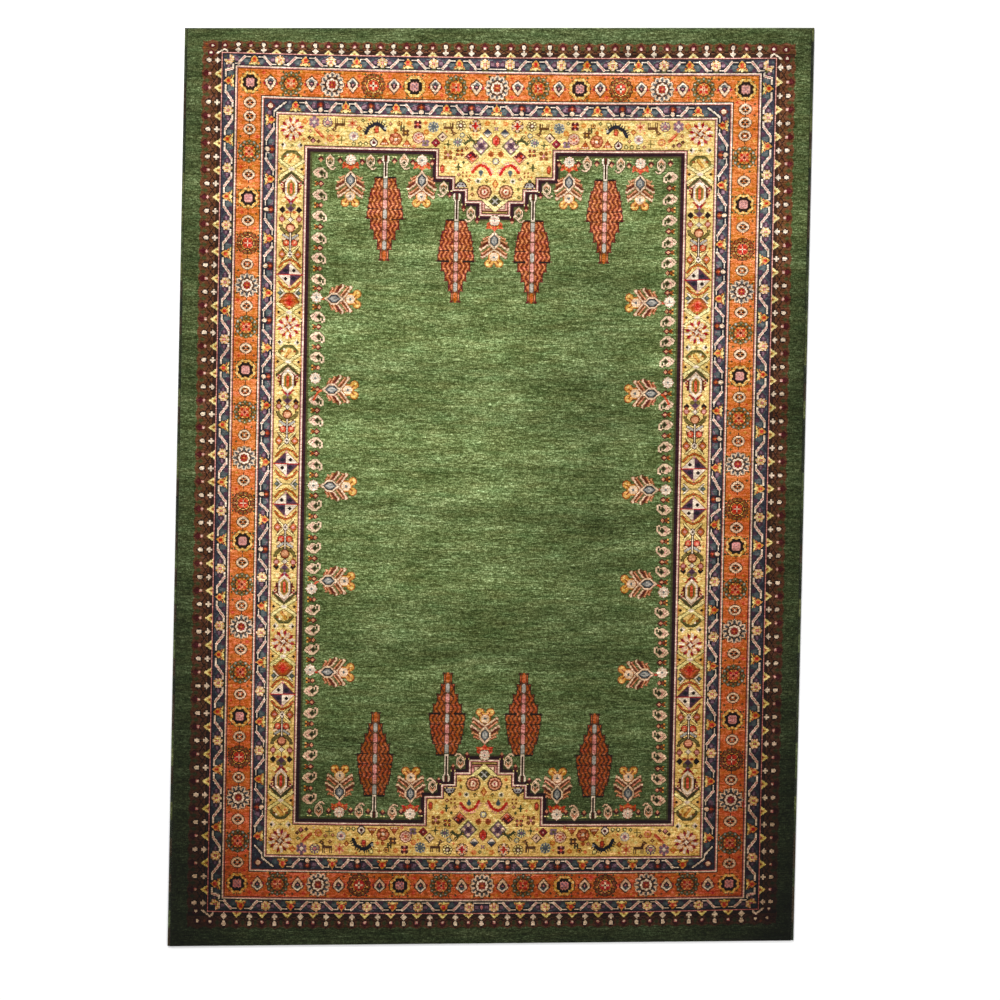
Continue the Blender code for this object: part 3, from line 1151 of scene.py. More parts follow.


# Places are in knots from the rug's middle: across it, then up it. They were read off the photo.
PALMETTES = ((157.5, 333), (80, 334), (0, 269.5))
PALMETTE_REACH = 34
SIDE_PALMETTES = ((173, 203, 204), (174, 104, 116), (174, -1, -1))  # and the white flower each grows from
CYPRESSES = ((119.5, 361, 25, 90), (41.5, 321, 30, 89))  # then the trunk's height and the body's
CYPRESS_TIERS = (11, 15.3, 17, 18.5, 15.5, 11.6, 7.4, 4.4)  # half widths, from the trunk to the tip
CYPRESS_SPIKES = ((0.375, 18.5), (0.5, 19.5))  # how far up the body, and how far out they reach
CYPRESS_MIDDLE, CYPRESS_REACH = 60, 78  # the middle of a tree's patch above its foot, and the patch's reach
TREE_SHADES = {1: ("rust", "apricot", "maroon"), -1: ("rust", "copper", "walnut")}
STANDING_BOTEHS = ((180, 352, False), (136, 353, False), (99.5, 354, False), (56, 325, True), (26, 298, True))
DOT_BLOOMS = (
    (190, 355), (169, 354), (145, 353), (126, 354), (110, 355), (90, 354), (69, 354),
    (49.5, 319), (34, 304.5), (19, 291.5),
)
EDGE_COLUMN = 191.5
EDGE_FLOWERS = (204, 116, -1, -113, -201)
EDGE_BOTEHS = (
    340, 316, 293, 269, 247, 224, 183, 161, 139, 92, 70, 46, 22,
    -23, -46, -69, -91, -136, -158, -179, -224, -248, -271, -294, -318, -341,
)


def field_motifs():
    places = sorted(EDGE_BOTEHS + EDGE_FLOWERS)
    for low, high in zip(places, places[1:]):
        for m in mirrored(EDGE_COLUMN, (low + high) / 2, 9, "in", ends=(1,)):
            small_bloom(m)
    for place in EDGE_BOTEHS:
        end = 1 if place > 0 else -1
        for m in mirrored(EDGE_COLUMN, abs(place), 12, "down", ends=(end,)):
            boteh(m)
    for across, up, flower in SIDE_PALMETTES:
        for end in (1, -1) if up > 0 else (1,):
            for m in mirrored(across, up, PALMETTE_REACH, "in", ends=(end,)):
                stalk, off = m if end > 0 else m.flipped(), flower - up
                stalk.line([(-off, -19.5), (-0.3 * off, -15), (0, -10)], 2.2, "coral")
                palmette(m, with_flower=False)
    for place in EDGE_FLOWERS:
        for m in mirrored(EDGE_COLUMN + 0.5, place, 9, ends=(1,)):
            white_flower(m)
    for across, up in PALMETTES:
        for m in mirrored(across, up, PALMETTE_REACH, "down"):
            palmette(m)
    for end in (1, -1):
        for across, foot, trunk, body in CYPRESSES:
            for m in mirrored(across, foot - CYPRESS_MIDDLE, CYPRESS_REACH, "down", ends=(end,)):
                cypress(m.at(0, -CYPRESS_MIDDLE), trunk, body, TREE_SHADES[end])
    for across, up, turned in STANDING_BOTEHS:
        for m in mirrored(across, up, 12, "down"):
            standing_boteh(m.flipped() if turned else m)
    for across, up in DOT_BLOOMS:
        for m in mirrored(across, up, 7, "down"):
            dot_bloom(m)


# ------------------------------------------------------------------ small fillings on bare ground
def speck(m, yarn, size):
    m.diamond(size, size, yarn)


def little_cross(m, yarn, size):
    m.box(size, 0.5, yarn)
    m.box(0.5, size, yarn)


def little_ring(m, yarn, size):
    m.diamond(size + 0.6, size + 0.6, yarn)
    m.diamond(size - 0.9, size - 0.9, "lemon")


def little_eye(m, yarn, size):
    m.diamond(size + 0.6, size + 0.6, "brown")
    m.diamond(size - 0.4, size - 0.4, yarn)


def little_rosette(m, yarn, size):
    m.lobes(size, 0.5, 6, "copper")
    m.lobes(size - 0.9, 0.4, 6, yarn)
    m.petals(4).disc(0.7, "lemon", y=size - 2.4)
    m.disc(0.9, "rust")


def little_four(m, yarn, size):
    m.quartered().diamond(1.5, 1.5, yarn, size - 1.6, size - 1.6)
    m.diamond(1.1, 1.1, "coral")


FILLINGS = (  # ground yarn, pitch of the places tried, how much bare ground one needs, what is drawn there
    ("yellow", 5.6, 4.4, (
        (little_rosette, "rose", 3.8), (little_rosette, "peach", 4.0), (little_rosette, "apricot", 3.8),
        (little_four, "brown", 3.6), (little_four, "rust", 3.4), (little_four, "olive", 3.6),
    )),
    ("yellow", 4.2, 2.8, (
        (speck, "orange", 2.2), (little_cross, "copper", 2.2), (little_ring, "olive", 1.9),
        (little_eye, "peach", 1.9), (speck, "lemon", 2.6), (little_ring, "rust", 1.9), (speck, "lemon", 2.6),
    )),
    ("yellow", 2.8, 1.7, (
        (speck, "lemon", 1.8), (speck, "gold", 1.5), (speck, "lemon", 1.5), (speck, "orange", 1.1),
        (speck, "copper", 0.9), (speck, "lemon", 1.6),
    )),
    ("orange", 3.2, 2.1, (
        (speck, "moss", 1.2), (speck, "brown", 1.2), (speck, "gold", 1.3), (speck, "scarlet", 1.6),
        (speck, "coral", 2.0), (speck, "copper", 2.0), (speck, "apricot", 1.6),
    )),
    ("navy", 2.4, 1.2, (
        (speck, "teal", 1.4), (speck, "ink", 1.5), (speck, "plum", 1.6), (speck, "slate", 1.0),
        (speck, "moss", 1.2), (speck, "ink", 1.4),
    )),
    ("band_brown", 2.2, 1.2, (
        (speck, "moss", 1.5), (speck, "walnut", 1.4), (speck, "maroon", 1.3), (speck, "olive", 1.3),
        (speck, "brown", 1.5), (speck, "rust", 1.1),
    )),
)


def fill_bare_ground(rng):
    for ground, pitch, reach, drawings in FILLINGS:
        rows, columns = np.nonzero(chart == YARN_NUMBER[ground])
        for _ in range(int(len(rows) * 3 / pitch ** 2)):
            k = rng.integers(len(rows))
            drawing, yarn, size = drawings[rng.integers(len(drawings))]
            across, up = columns[k] - HALF_ACROSS, rows[k] - HALF_UP
            patch, x, y = patch_of(across, up, reach)
            if (patch == YARN_NUMBER[ground]).all():
                drawing(Motif(patch, x - across, y - up), yarn, size)


lay_grounds()
ground_chart = chart.copy()
diamond_band()
outer_guard()
main_border()
inner_guard()
yellow_sides()
end_band()
field_motifs()
fill_bare_ground(np.random.default_rng(17))


# ------------------------------------------------------------------ from the chart to the pile
# The rug is a little out of square. Both tables are measured: they were typed, and in part evened out, from
# straight lines that a scratch script fitted to the border lines of the photo.
# Each row: height v, shift, rise for each metre across, bow for each square metre
DRAWN_ROWS = (
    (-1.497, 0.0045, 0.0196, 0.000), (-1.398, 0.0040, 0.0144, 0.013), (-1.350, 0.0005, 0.0110, 0.013),
    (-1.209, -0.0025, 0.0070, 0.010), (0.000, -0.0030, -0.0020, 0.010), (1.209, -0.0045, -0.0030, 0.013),
    (1.350, 0.0023, -0.0050, 0.011), (1.398, 0.0050, 0.0000, 0.010), (1.497, 0.0043, 0.0106, 0.000),
)
# Each column: place across u, shift, lean for each metre up
DRAWN_COLUMNS = (
    (-1.017, -0.004, 0.0086), (-0.903, 0.000, 0.0068), (-0.765, -0.003, 0.0060), (-0.618, -0.005, 0.0072),
    (0.618, -0.005, 0.0098), (0.765, -0.003, 0.0108), (0.903, 0.000, 0.0108), (1.017, -0.004, 0.0126),
)
FRAME_OFFSET = (0.0005, 0.0003)  # from the loom's centre lines to the frame's origin
BODY_LOW, BODY_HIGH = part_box("rug_body")
PILE_TOP = BODY_HIGH.z
BACK_LOW = BODY_LOW.z + 0.0002
BACK_HIGH = BODY_LOW.z + 0.0035
PILE_LOW = BACK_HIGH + 0.0001
RIM_DROP = (0.0026, 0.0006)  # how far the outermost two lines of knots lie under the pile's top
PILE_WAVES = ((0.31, 0.17, 0.00012), (0.13, 0.29, 0.00010), (0.057, 0.043, 0.00008))  # lengths, height
WAVE_SLANT = 3


def body_points():
    return np.array([vertex.co[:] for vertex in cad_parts["rug_body"].data.vertices])


def body_edge(axis, sign):
    """The straight edge of the CAD body on one side, as a function of the other coordinate."""
    points, ends = body_points(), []
    for half in (-1, 1):
        near = points[points[:, 1 - axis] * half > 0]
        ends.append(near[np.argmax(near[:, axis] * sign)])
    (a, b) = ends
    slope = (b[axis] - a[axis]) / (b[1 - axis] - a[1 - axis])
    return lambda other: a[axis] + slope * (other - a[1 - axis])


EDGES = {(axis, sign): body_edge(axis, sign) for axis in (0, 1) for sign in (-1, 1)}


def interpolated(at, table, column):
    table = np.array(table)
    return np.interp(at, table[:, 0], table[:, column])


def drawn_out(row_line, column_line):
    """Where a crossing of the chart's grid lines lies on the real rug, in metres."""
    u = (column_line - COLUMNS / 2) * KNOT
    v = (row_line - ROWS / 2) * KNOT
    x = u + interpolated(u, DRAWN_COLUMNS, 1) + interpolated(u, DRAWN_COLUMNS, 2) * v + FRAME_OFFSET[0]
    y = (v + interpolated(v, DRAWN_ROWS, 1) + interpolated(v, DRAWN_ROWS, 2) * u
         + interpolated(v, DRAWN_ROWS, 3) * u * u + FRAME_OFFSET[1])
    x = np.where(column_line == 0, EDGES[0, -1](y), np.where(column_line == COLUMNS, EDGES[0, 1](y), x))
    y = np.where(row_line == 0, EDGES[1, -1](x), np.where(row_line == ROWS, EDGES[1, 1](x), y))
    return x, y


def pile_height(row_line, column_line, x, y):
    wave = sum(
        height * np.sin(2 * math.pi * (x / across + y * WAVE_SLANT * across))
        * np.cos(2 * math.pi * y / along)
        for across, along, height in PILE_WAVES
    )
    highest = sum(height for _, _, height in PILE_WAVES)
    edge = np.minimum.reduce([row_line, ROWS - row_line, column_line, COLUMNS - column_line])
    drop = np.where(edge == 0, RIM_DROP[0], np.where(edge == 1, RIM_DROP[1], 0.0))
    return PILE_TOP - highest + wave - drop


LARGEST_BLOCK = 8  # neighbouring knots of one yarn share a face, up to this many each way


def blocks_of(codes):
    """Rectangles of one code each, as (row, column, height, width): runs along a row, joined up the rows."""
    edge = np.ones(codes.shape, bool)
    edge[:, 1:] = codes[:, 1:] != codes[:, :-1]
    edge[:, ::LARGEST_BLOCK] = True
    row, column = np.nonzero(edge)
    stop = np.append(column[1:], codes.shape[1])
    stop[stop == 0] = codes.shape[1]
    code = codes[row, column].astype(np.int64)
    order = np.lexsort((row, code, stop, column))
    row, column, stop, code = row[order], column[order], stop[order], code[order]
    goes_on = np.zeros(len(row), bool)
    goes_on[1:] = ((row[1:] == row[:-1] + 1) & (column[1:] == column[:-1]) & (stop[1:] == stop[:-1])
                   & (code[1:] == code[:-1]) & (row[1:] % LARGEST_BLOCK != 0))
    first = np.nonzero(~goes_on)[0]
    height = np.diff(np.append(first, len(row)))
    blocks = np.stack([row[first], column[first], height, stop[first] - column[first]], 1)
    return blocks[code[first] > 0]


def corner_grid(blocks, shape):
    used = np.zeros((shape[0] + 1, shape[1] + 1), bool)
    row, column, height, width = blocks.T
    for up in (0, height):
        for across in (0, width):
            used[row + up, column + across] = True
    return used


def best_blocks(codes):
    """Runs along the rows or along the columns, whichever need fewer corners."""
    along_rows = blocks_of(codes)
    along_columns = blocks_of(codes.T.copy())[:, [1, 0, 3, 2]]
    return min((along_rows, along_columns), key=lambda blocks: corner_grid(blocks, codes.shape).sum())


def round_block(height, width):
    """The grid steps round a block's rim, anticlockwise."""
    steps = [(0, k) for k in range(width)] + [(k, width) for k in range(height)]
    steps += [(height, width - k) for k in range(width)] + [(height - k, 0) for k in range(height)]
    return np.array(steps)


def block_faces(blocks, used, number):
    """A face for each block, through every used crossing on its rim: loops, corner counts and cells."""
    loops, counts, cells = [], [], []
    for height, width in np.unique(blocks[:, 2:], axis=0):
        chosen = blocks[(blocks[:, 2] == height) & (blocks[:, 3] == width)]
        steps = round_block(height, width)
        at_row = chosen[:, 0, None] + steps[None, :, 0]
        at_column = chosen[:, 1, None] + steps[None, :, 1]
        on = used[at_row, at_column]
        loops.append(number[at_row, at_column][on])
        counts.append(on.sum(1))
        cells.append(chosen[:, :2])
    return np.concatenate(loops), np.concatenate(counts), np.concatenate(cells)


def open_edges(loops, counts):
    """The directed edges that only one face has."""
    ends = np.cumsum(counts)
    following = np.arange(len(loops)) + 1
    following[ends - 1] = ends - counts
    start, stop = loops.astype(np.int64), loops[following].astype(np.int64)
    span = int(loops.max()) + 1
    lonely = ~np.isin(start * span + stop, stop * span + start)
    return start[lonely], stop[lonely]


def turned_over(loops, counts):
    """The same faces, each with its corners in the other order."""
    ends = np.cumsum(counts)
    order = [np.arange(end - 1, end - count - 1, -1) for end, count in zip(ends, counts)]
    return loops[np.concatenate(order)]


def cells_beside(start, stop):
    """The cell on the left of each directed grid edge."""
    rise, run = np.sign(stop - start).T
    return start - np.stack([(run < 0) | (rise < 0), (rise > 0) | (run < 0)], 1)


def padded_codes(inside, codes):
    """Codes from 1 inside and 0 outside, on a grid that a whole number of blocks fills."""
    rows, columns = (math.ceil(n / LARGEST_BLOCK) * LARGEST_BLOCK for n in chart.shape)
    padded = np.zeros((rows, columns), np.int32)
    padded[:ROWS, :COLUMNS] = np.where(inside, codes.astype(np.int32) + 1, 0)
    return padded


def with_single_rim(codes, inside):
    """The rug's outermost knots get a code each, so that they stay single and the rim can round over."""
    rim = np.ones(chart.shape, bool)
    rim[1:-1, 1:-1] = False
    single = np.arange(chart.size).reshape(chart.shape) + len(YARNS) + 1
    codes[:ROWS, :COLUMNS] = np.where(rim & inside, single, codes[:ROWS, :COLUMNS])


def numbered(used, first=0):
    """The used crossings of the grid, and the number of each."""
    points = np.argwhere(used)
    number = np.zeros(used.shape, np.int64)
    number[used] = np.arange(len(points)) + first
    return points, number


def slab(patterned, plain):
    """The crossings of a patterned side and of the plain one behind it, then their faces and the walls."""
    blocks = best_blocks(patterned)
    used = corner_grid(blocks, patterned.shape)
    points, number = numbered(used)
    loops, counts, cells = block_faces(blocks, used, number)
    start, stop = (points[ends] for ends in open_edges(loops, counts))

    blocks = best_blocks(plain)
    used = corner_grid(blocks, plain.shape)
    used[tuple(np.concatenate([start, stop]).T)] = True
    points_behind, number_behind = numbered(used, len(points))
    loops_behind, counts_behind, cells_behind = block_faces(blocks, used, number_behind)

    walls = [number[tuple(stop.T)], number[tuple(start.T)]]
    walls += [number_behind[tuple(start.T)], number_behind[tuple(stop.T)]]
    return points, points_behind, (
        (loops, counts, cells),
        (np.stack(walls, 1).ravel(), np.full(len(start), 4), cells_beside(start, stop)),
        (turned_over(loops_behind, counts_behind), counts_behind, cells_behind),
    )


def linear(colour):
    share = np.array(colour) / 255
    return np.where(share <= 0.04045, share / 12.92, ((share + 0.055) / 1.055) ** 2.4)


YARN_COLOURS = np.array([linear(colour) for colour in YARNS.values()])
YARN_DEPTH = (0.80, 0.77, 0.79)  # scales red, green and blue, so that the lit pile is about as in the photo
# Painted shade: how light the wool is drawn over the rug, lighter at the far end and darker towards the near
# end and the two long edges. Typed by hand in rounds, each value moved by the ratio between the mean tones
# that a scratch script measured on the photo and on the render. So most of it is the photo's own light, which
# one photo can't tell from faded dye. All at 1 would leave the yarns' own colours, but for faint bands.
PAINTED_SHADE_COLUMNS = (-1.0, -0.87, -0.76, 0.0, 0.35, 0.62, 0.8, 1.0)  # from the left edge to the right one
PAINTED_SHADE = (  # by height, from the near end to the far one
    (-1.00, (0.20, 0.27, 0.38, 0.48, 0.40, 0.36, 0.28, 0.13)),
    (-0.85, (0.24, 0.30, 0.45, 0.54, 0.48, 0.47, 0.39, 0.20)),
    (-0.60, (0.40, 0.42, 0.60, 0.70, 0.60, 0.58, 0.48, 0.28)),
    (-0.30, (0.56, 0.64, 0.87, 0.80, 0.68, 0.72, 0.59, 0.54)),
    (0.00, (0.80, 0.78, 1.00, 1.02, 0.74, 0.88, 0.77, 0.60)),
    (0.30, (0.82, 0.80, 1.00, 1.02, 0.78, 0.98, 0.97, 0.56)),
    (0.60, (0.86, 0.88, 0.97, 1.00, 0.95, 1.02, 1.10, 1.00)),
    (1.00, (0.80, 0.90, 0.93, 1.00, 0.97, 0.97, 0.96, 0.80)),
)
GREENS = ("border_green", "field_green")


def with_painted_shade(yarn, row_line, column_line):
    """A yarn's colour at a place, darkened by the painted shade: where the shade is deep, dark channels fall
    faster than light ones.
    """
    up = (row_line - ROWS / 2) / (ROWS / 2)
    across = (column_line - COLUMNS / 2) / (COLUMNS / 2)
    heights = [height for height, _ in PAINTED_SHADE]
    # tone is the painted shade at each corner, lower where the wool is drawn darker
    tone = 0.0
    for k, column in enumerate(PAINTED_SHADE_COLUMNS):  # each column counts for less the further away it is
        nearness = np.interp(across, PAINTED_SHADE_COLUMNS, [float(other == column) for other in PAINTED_SHADE_COLUMNS])
        tone = tone + nearness * np.interp(up, heights, [strengths[k] for _, strengths in PAINTED_SHADE])
    green = np.isin(yarn, [YARN_NUMBER[name] for name in GREENS])
    bands = np.sin(up * 23 + across) + np.sin(up * 61 + 2 + across * 2)
    tone = tone * (1 + np.where(green, 0.05, 0.02) * bands)
    colour = YARN_COLOURS[yarn] * YARN_DEPTH
    result = np.ones((len(yarn), 4))
    result[:, :3] = colour * tone[:, None] ** (1.95 - 1.45 * colour)
    result[:, 3] = np.where(green, 1.0, 0.5)  # how streaky the yarn is
    return result


STRIP_ROWS = 8  # strips of border laid side by side in the bake's square
SPARE = 0.985  # the bake's square is used up to here, and hidden faces share what is left
HIDDEN_SHARE = 0.01
WALL_SHIFT = 0.0015  # moves a wall's lower corners aside, so that the wall has some width in the square


def bake_square(cells, row_line, column_line, ring):
    """Where a corner lies in the bake's square: a ring is unrolled into eight strips."""
    if ring is None:
        return column_line / COLUMNS * SPARE, row_line / ROWS * SPARE
    (outer_across, outer_up), (inner_across, inner_up) = ring
    cell_row = cells[:, 0] - HALF_UP
    cell_column = cells[:, 1] - HALF_ACROSS
    at_end = abs(cell_row) > inner_up
    along = np.where(at_end, column_line - COLUMNS / 2, row_line - ROWS / 2)
    along_cell = np.where(at_end, cell_column, cell_row)
    off = np.where(at_end, abs(row_line - ROWS / 2) - inner_up, abs(column_line - COLUMNS / 2) - inner_across)
    side = np.where(at_end, np.sign(cell_row), np.sign(cell_column))
    strip = 4 * at_end + 2 * (side > 0) + (along_cell > 0)
    width = max(outer_across - inner_across, outer_up - inner_up) + 1
    return abs(along) / (ROWS / 2 + 1) * SPARE, (strip + 0.04 + 0.92 * off / width) / STRIP_ROWS * SPARE


def colour_corners(mesh, colours):
    attribute = mesh.color_attributes.new("yarn", "FLOAT_COLOR", "CORNER")
    attribute.data.foreach_set("color", colours.ravel().astype(np.float32))


def map_corners(mesh, name, across, up):
    layer = mesh.uv_layers.new(name=name)
    layer.data.foreach_set("uv", np.stack([across, up], 1).ravel().astype(np.float32))


def linked(name, mesh):
    piece = bpy.data.objects.new(name, mesh)
    bpy.context.scene.collection.objects.link(piece)
    return piece


def knotted(name, inside, codes, facing_down=False, ring=None):
    """A closed slab over some of the chart's cells: pile with its pattern up, or the back with it down."""
    patterned = padded_codes(inside, codes)
    if not facing_down:
        with_single_rim(patterned, inside)
    points, points_behind, kinds = slab(patterned, padded_codes(inside, np.zeros_like(codes)))
    loops, counts, cells = (np.concatenate(parts) for parts in zip(*kinds))
    if facing_down:
        loops = turned_over(loops, counts)

    lines = np.concatenate([points, points_behind])
    behind = np.arange(len(lines)) >= len(points)
    x, y = drawn_out(lines[:, 0], lines[:, 1])
    if facing_down:
        z = np.where(behind, BACK_HIGH, BACK_LOW)
    else:
        z = np.where(behind, PILE_LOW, pile_height(lines[:, 0], lines[:, 1], x, y))

    mesh = bpy.data.meshes.new(name)
    mesh.vertices.add(len(lines))
    mesh.vertices.foreach_set("co", np.stack([x, y, z], 1).ravel())
    mesh.loops.add(len(loops))
    mesh.loops.foreach_set("vertex_index", loops.astype(np.int32))
    mesh.polygons.add(len(counts))
    mesh.polygons.foreach_set("loop_start", (np.cumsum(counts) - counts).astype(np.int32))

    corner_cells = cells.repeat(counts, 0)
    row_line, column_line = lines[loops, 0], lines[loops, 1]
    # the pile's corner colours are its yarns with the painted shade put in
    colour_corners(mesh, with_painted_shade(codes[corner_cells[:, 0], corner_cells[:, 1]], row_line, column_line))
    map_corners(mesh, "loom", column_line, row_line)
    hidden = np.repeat((False, False, True), [kind_counts.sum() for _, kind_counts, _ in kinds])
    map_corners(mesh, "OFBake", *(
        np.where(hidden, SPARE + HIDDEN_SHARE * place, place + WALL_SHIFT * behind[loops])
        for place in bake_square(corner_cells, row_line, column_line, ring)
    ))

    mesh.update(calc_edges=True)
    mesh.polygons.foreach_set("use_smooth", np.arange(len(counts)) < len(kinds[0][1]))
    return linked(name, mesh)


# ------------------------------------------------------------------ materials
class Nodes:
    """Short names for building a material's node tree."""

    def __init__(self, name):
        self.material = bpy.data.materials.new(name)
        self.material.use_nodes = True
        self.tree = self.material.node_tree
        self.shader = self.tree.nodes["Principled BSDF"]

    def add(self, kind, inputs=(), **settings):
        node = self.tree.nodes.new(kind)
        for name, value in settings.items():
            setattr(node, name, value)
        for socket, value in dict(inputs).items():
            if isinstance(value, bpy.types.NodeSocket):
                self.tree.links.new(value, node.inputs[socket])
            else:
                node.inputs[socket].default_value = value
        return node

    def math(self, operation, *values):
        return self.add("ShaderNodeMath", enumerate(values), operation=operation).outputs[0]

    def vector(self, operation, *values):
        return self.add("ShaderNodeVectorMath", enumerate(values), operation=operation).outputs[0]

    def noise(self, vector, scale, detail=2.0, roughness=0.5):
        inputs = {"Vector": vector, "Scale": scale, "Detail": detail, "Roughness": roughness}
        return self.add("ShaderNodeTexNoise", inputs.items()).outputs["Fac"]

    def spread(self, value, low, high, start=0.0, stop=1.0):
        inputs = {"Value": value, "From Min": start, "From Max": stop, "To Min": low, "To Max": high}
        return self.add("ShaderNodeMapRange", inputs.items()).outputs[0]

    def link(self, output, socket):
        self.tree.links.new(output, self.shader.inputs[socket])


def wool_colour(n, loom, chance, contrast):
    """The yarn's colour, with each knot's own shade, streaks along the rows and fibre, and a painted sheen
    that pales the lighter knots.
    """
    # on the pile these colours already carry the painted shade
    yarn = n.add("ShaderNodeVertexColor", layer_name="yarn").outputs
    strength = n.math("MULTIPLY", yarn["Alpha"], contrast)

    def streaks(scale_across, scale_up, detail):
        stretched = n.vector("MULTIPLY", loom, (scale_across, scale_up, 1.0))
        return n.spread(n.noise(stretched, 1.0, detail, 0.55), -1.0, 1.0, 0.28, 0.72)

    own = n.spread(chance, -0.95, 0.95)
    short = n.math("MULTIPLY", streaks(0.20, 0.80, 2.0), 1.25)
    long = n.math("MULTIPLY", streaks(0.045, 0.36, 3.0), 0.88)
    cloud = n.math("MULTIPLY", streaks(0.010, 0.042, 3.0), 0.66)
    uneven = n.math("ADD", n.math("ADD", own, short), n.math("ADD", long, cloud))
    uneven = n.math("MULTIPLY", uneven, strength)
    fibre = n.spread(n.noise(loom, 4.0, 3.0, 0.6), 0.86, 1.14, 0.3, 0.7)
    shade = n.math("MULTIPLY", n.math("POWER", 2.0, uneven), fibre)
    hue = n.math("MULTIPLY_ADD", n.math("MULTIPLY", streaks(0.03, 0.14, 3.0), strength), -0.022, 0.5)
    # lighter knots are paler and darker ones more saturated: a painted sheen on the tips, over each knot's
    # random shade
    pale = n.math("MULTIPLY_ADD", uneven, -0.12, 1.04)
    inputs = {"Hue": hue, "Saturation": pale, "Value": shade, "Color": yarn["Color"]}
    return n.add("ShaderNodeHueSaturation", inputs.items()).outputs["Color"]


def wool_relief(n, loom, chance, depth):
    """Each knot as a small dome, of its own height and with a rough top."""
    within = n.vector("FRACTION", loom)
    turned = n.vector("SINE", n.vector("MULTIPLY", within, (math.pi, math.pi, 0.0)))
    parts = n.add("ShaderNodeSeparateXYZ", {"Vector": turned}.items()).outputs
    dome = n.math("POWER", n.math("MULTIPLY", parts["X"], parts["Y"]), 0.5)
    tuft = n.math("ADD", n.math("MULTIPLY", dome, 0.8), n.math("MULTIPLY", chance, 0.5))
    height = n.math("ADD", tuft, n.math("MULTIPLY", n.noise(loom, 5.0, 3.0), 0.6))
    bump = n.add("ShaderNodeBump", {"Strength": 0.65, "Distance": depth, "Height": height}.items())
    return bump.outputs["Normal"]


def wool(name, relief, contrast, sheen=0.05):
    n = Nodes(name)
    loom = n.add("ShaderNodeUVMap", uv_map="loom").outputs["UV"]
    knot = {"Vector": n.vector("FLOOR", loom)}
    chance = n.add("ShaderNodeTexWhiteNoise", knot.items(), noise_dimensions="2D").outputs["Value"]
    n.link(wool_colour(n, loom, chance, contrast), "Base Color")
    n.link(wool_relief(n, loom, chance, relief), "Normal")
    n.link(n.spread(n.noise(loom, 2.0), 0.78, 0.96), "Roughness")
    for socket, value in (("Sheen Weight", sheen), ("Sheen Roughness", 0.45), ("Specular IOR Level", 0.14)):
        n.shader.inputs[socket].default_value = value
    n.shader.inputs["Sheen Tint"].default_value = (0.95, 0.93, 0.85, 1.0)
    return n.material


def floor_material():
    n = Nodes("studio_floor")
    place = n.add("ShaderNodeTexCoord").outputs["Object"]
    tone = n.spread(n.noise(place, 3.0, 4.0), 0.92, 0.95)
    n.link(n.add("ShaderNodeCombineColor", enumerate((tone, tone, tone))).outputs[0], "Base Color")
    n.shader.inputs["Roughness"].default_value = 0.9
    return n.material


# ------------------------------------------------------------------ pieces of the rug
def between(outer, inner):
    """The cells inside one rectangle and outside another, given by half widths and half lengths."""
    rug = whole_chart()
    inside = (abs(rug.x) <= outer[0]) & (abs(rug.y) <= outer[1])
    return inside & ~((abs(rug.x) <= inner[0]) & (abs(rug.y) <= inner[1]))


NOTHING = (-1, -1)  # a rectangle that holds no cell


def grown(size, by):
    return size[0] + by, size[1] + by


def pile_pieces():
    """The borders as rings, from the outside in, then the field and the two medallions."""
    edges = [grown(size, LINE_REACH) for size in (*LINES.values(), FIELD)]
    edges.insert(0, (HALF_ACROSS, HALF_UP))
    pieces = []
    for name, outer, inner in zip(("outside", *LINES), edges, edges[1:]):
        pieces.append(knotted(f"pile_{name}", between(outer, inner), chart, ring=(grown(outer, 1), inner)))
    field = field_shape(LINE_REACH)
    medallions = between(edges[-1], NOTHING) & ~field
    up = whole_chart().y
    pieces.append(knotted("pile_field", field, chart))
    pieces.append(knotted("pile_medallion_far", medallions & (up > 0), chart))
    pieces.append(knotted("pile_medallion_near", medallions & (up < 0), chart))
    return pieces


SELVEDGE_WRAP = 0.0042  # one turn of the overcast wool along the edge
SELVEDGE_SIDES = 12
RINGS_A_WRAP, WRAPS_A_YARN = 3, 14
WRAP_GROOVE, WRAP_RIDGE, WRAP_CHANCE = 0.0006, 0.00005, 0.00012  # how far under the cord's radius
SELVEDGE_YARNS = ((46, 52, 34), (62, 70, 42), (36, 40, 30), (74, 78, 46), (52, 44, 32))


def wrapped_tube(near, far, radius, rings, rng):
    """The corners of a tube with a ridge for each turn of wool, each turn leaning a little."""
    length = np.linalg.norm(far - near)
    along = (far - near) / length
    across, above = np.cross(along, (0, 0, 1)), np.array((0, 0, 1))
    turn = 2 * math.pi * np.arange(SELVEDGE_SIDES) / SELVEDGE_SIDES
    groove = np.arange(rings) % RINGS_A_WRAP == 0
    ring_radius = radius - np.where(groove, WRAP_GROOVE, WRAP_RIDGE) - rng.random(rings) * WRAP_CHANCE
    lean = 0.35 * SELVEDGE_WRAP * np.sin(turn)
    place = np.clip(np.linspace(0, length, rings)[:, None] + lean[None, :], 0, length)
    return (near + along * place[:, :, None]
            + across * (ring_radius[:, None] * np.cos(turn))[:, :, None]
            + above * (ring_radius[:, None] * np.sin(turn))[:, :, None])


def tube_faces(rings):
    faces = []
    for ring in range(rings - 1):
        for side in range(SELVEDGE_SIDES):
            a, b = (ring * SELVEDGE_SIDES + k % SELVEDGE_SIDES for k in (side, side + 1))
            faces.append((a, b, b + SELVEDGE_SIDES, a + SELVEDGE_SIDES))
    faces.append(tuple(range(SELVEDGE_SIDES))[::-1])
    faces.append(tuple(range((rings - 1) * SELVEDGE_SIDES, rings * SELVEDGE_SIDES)))
    return faces


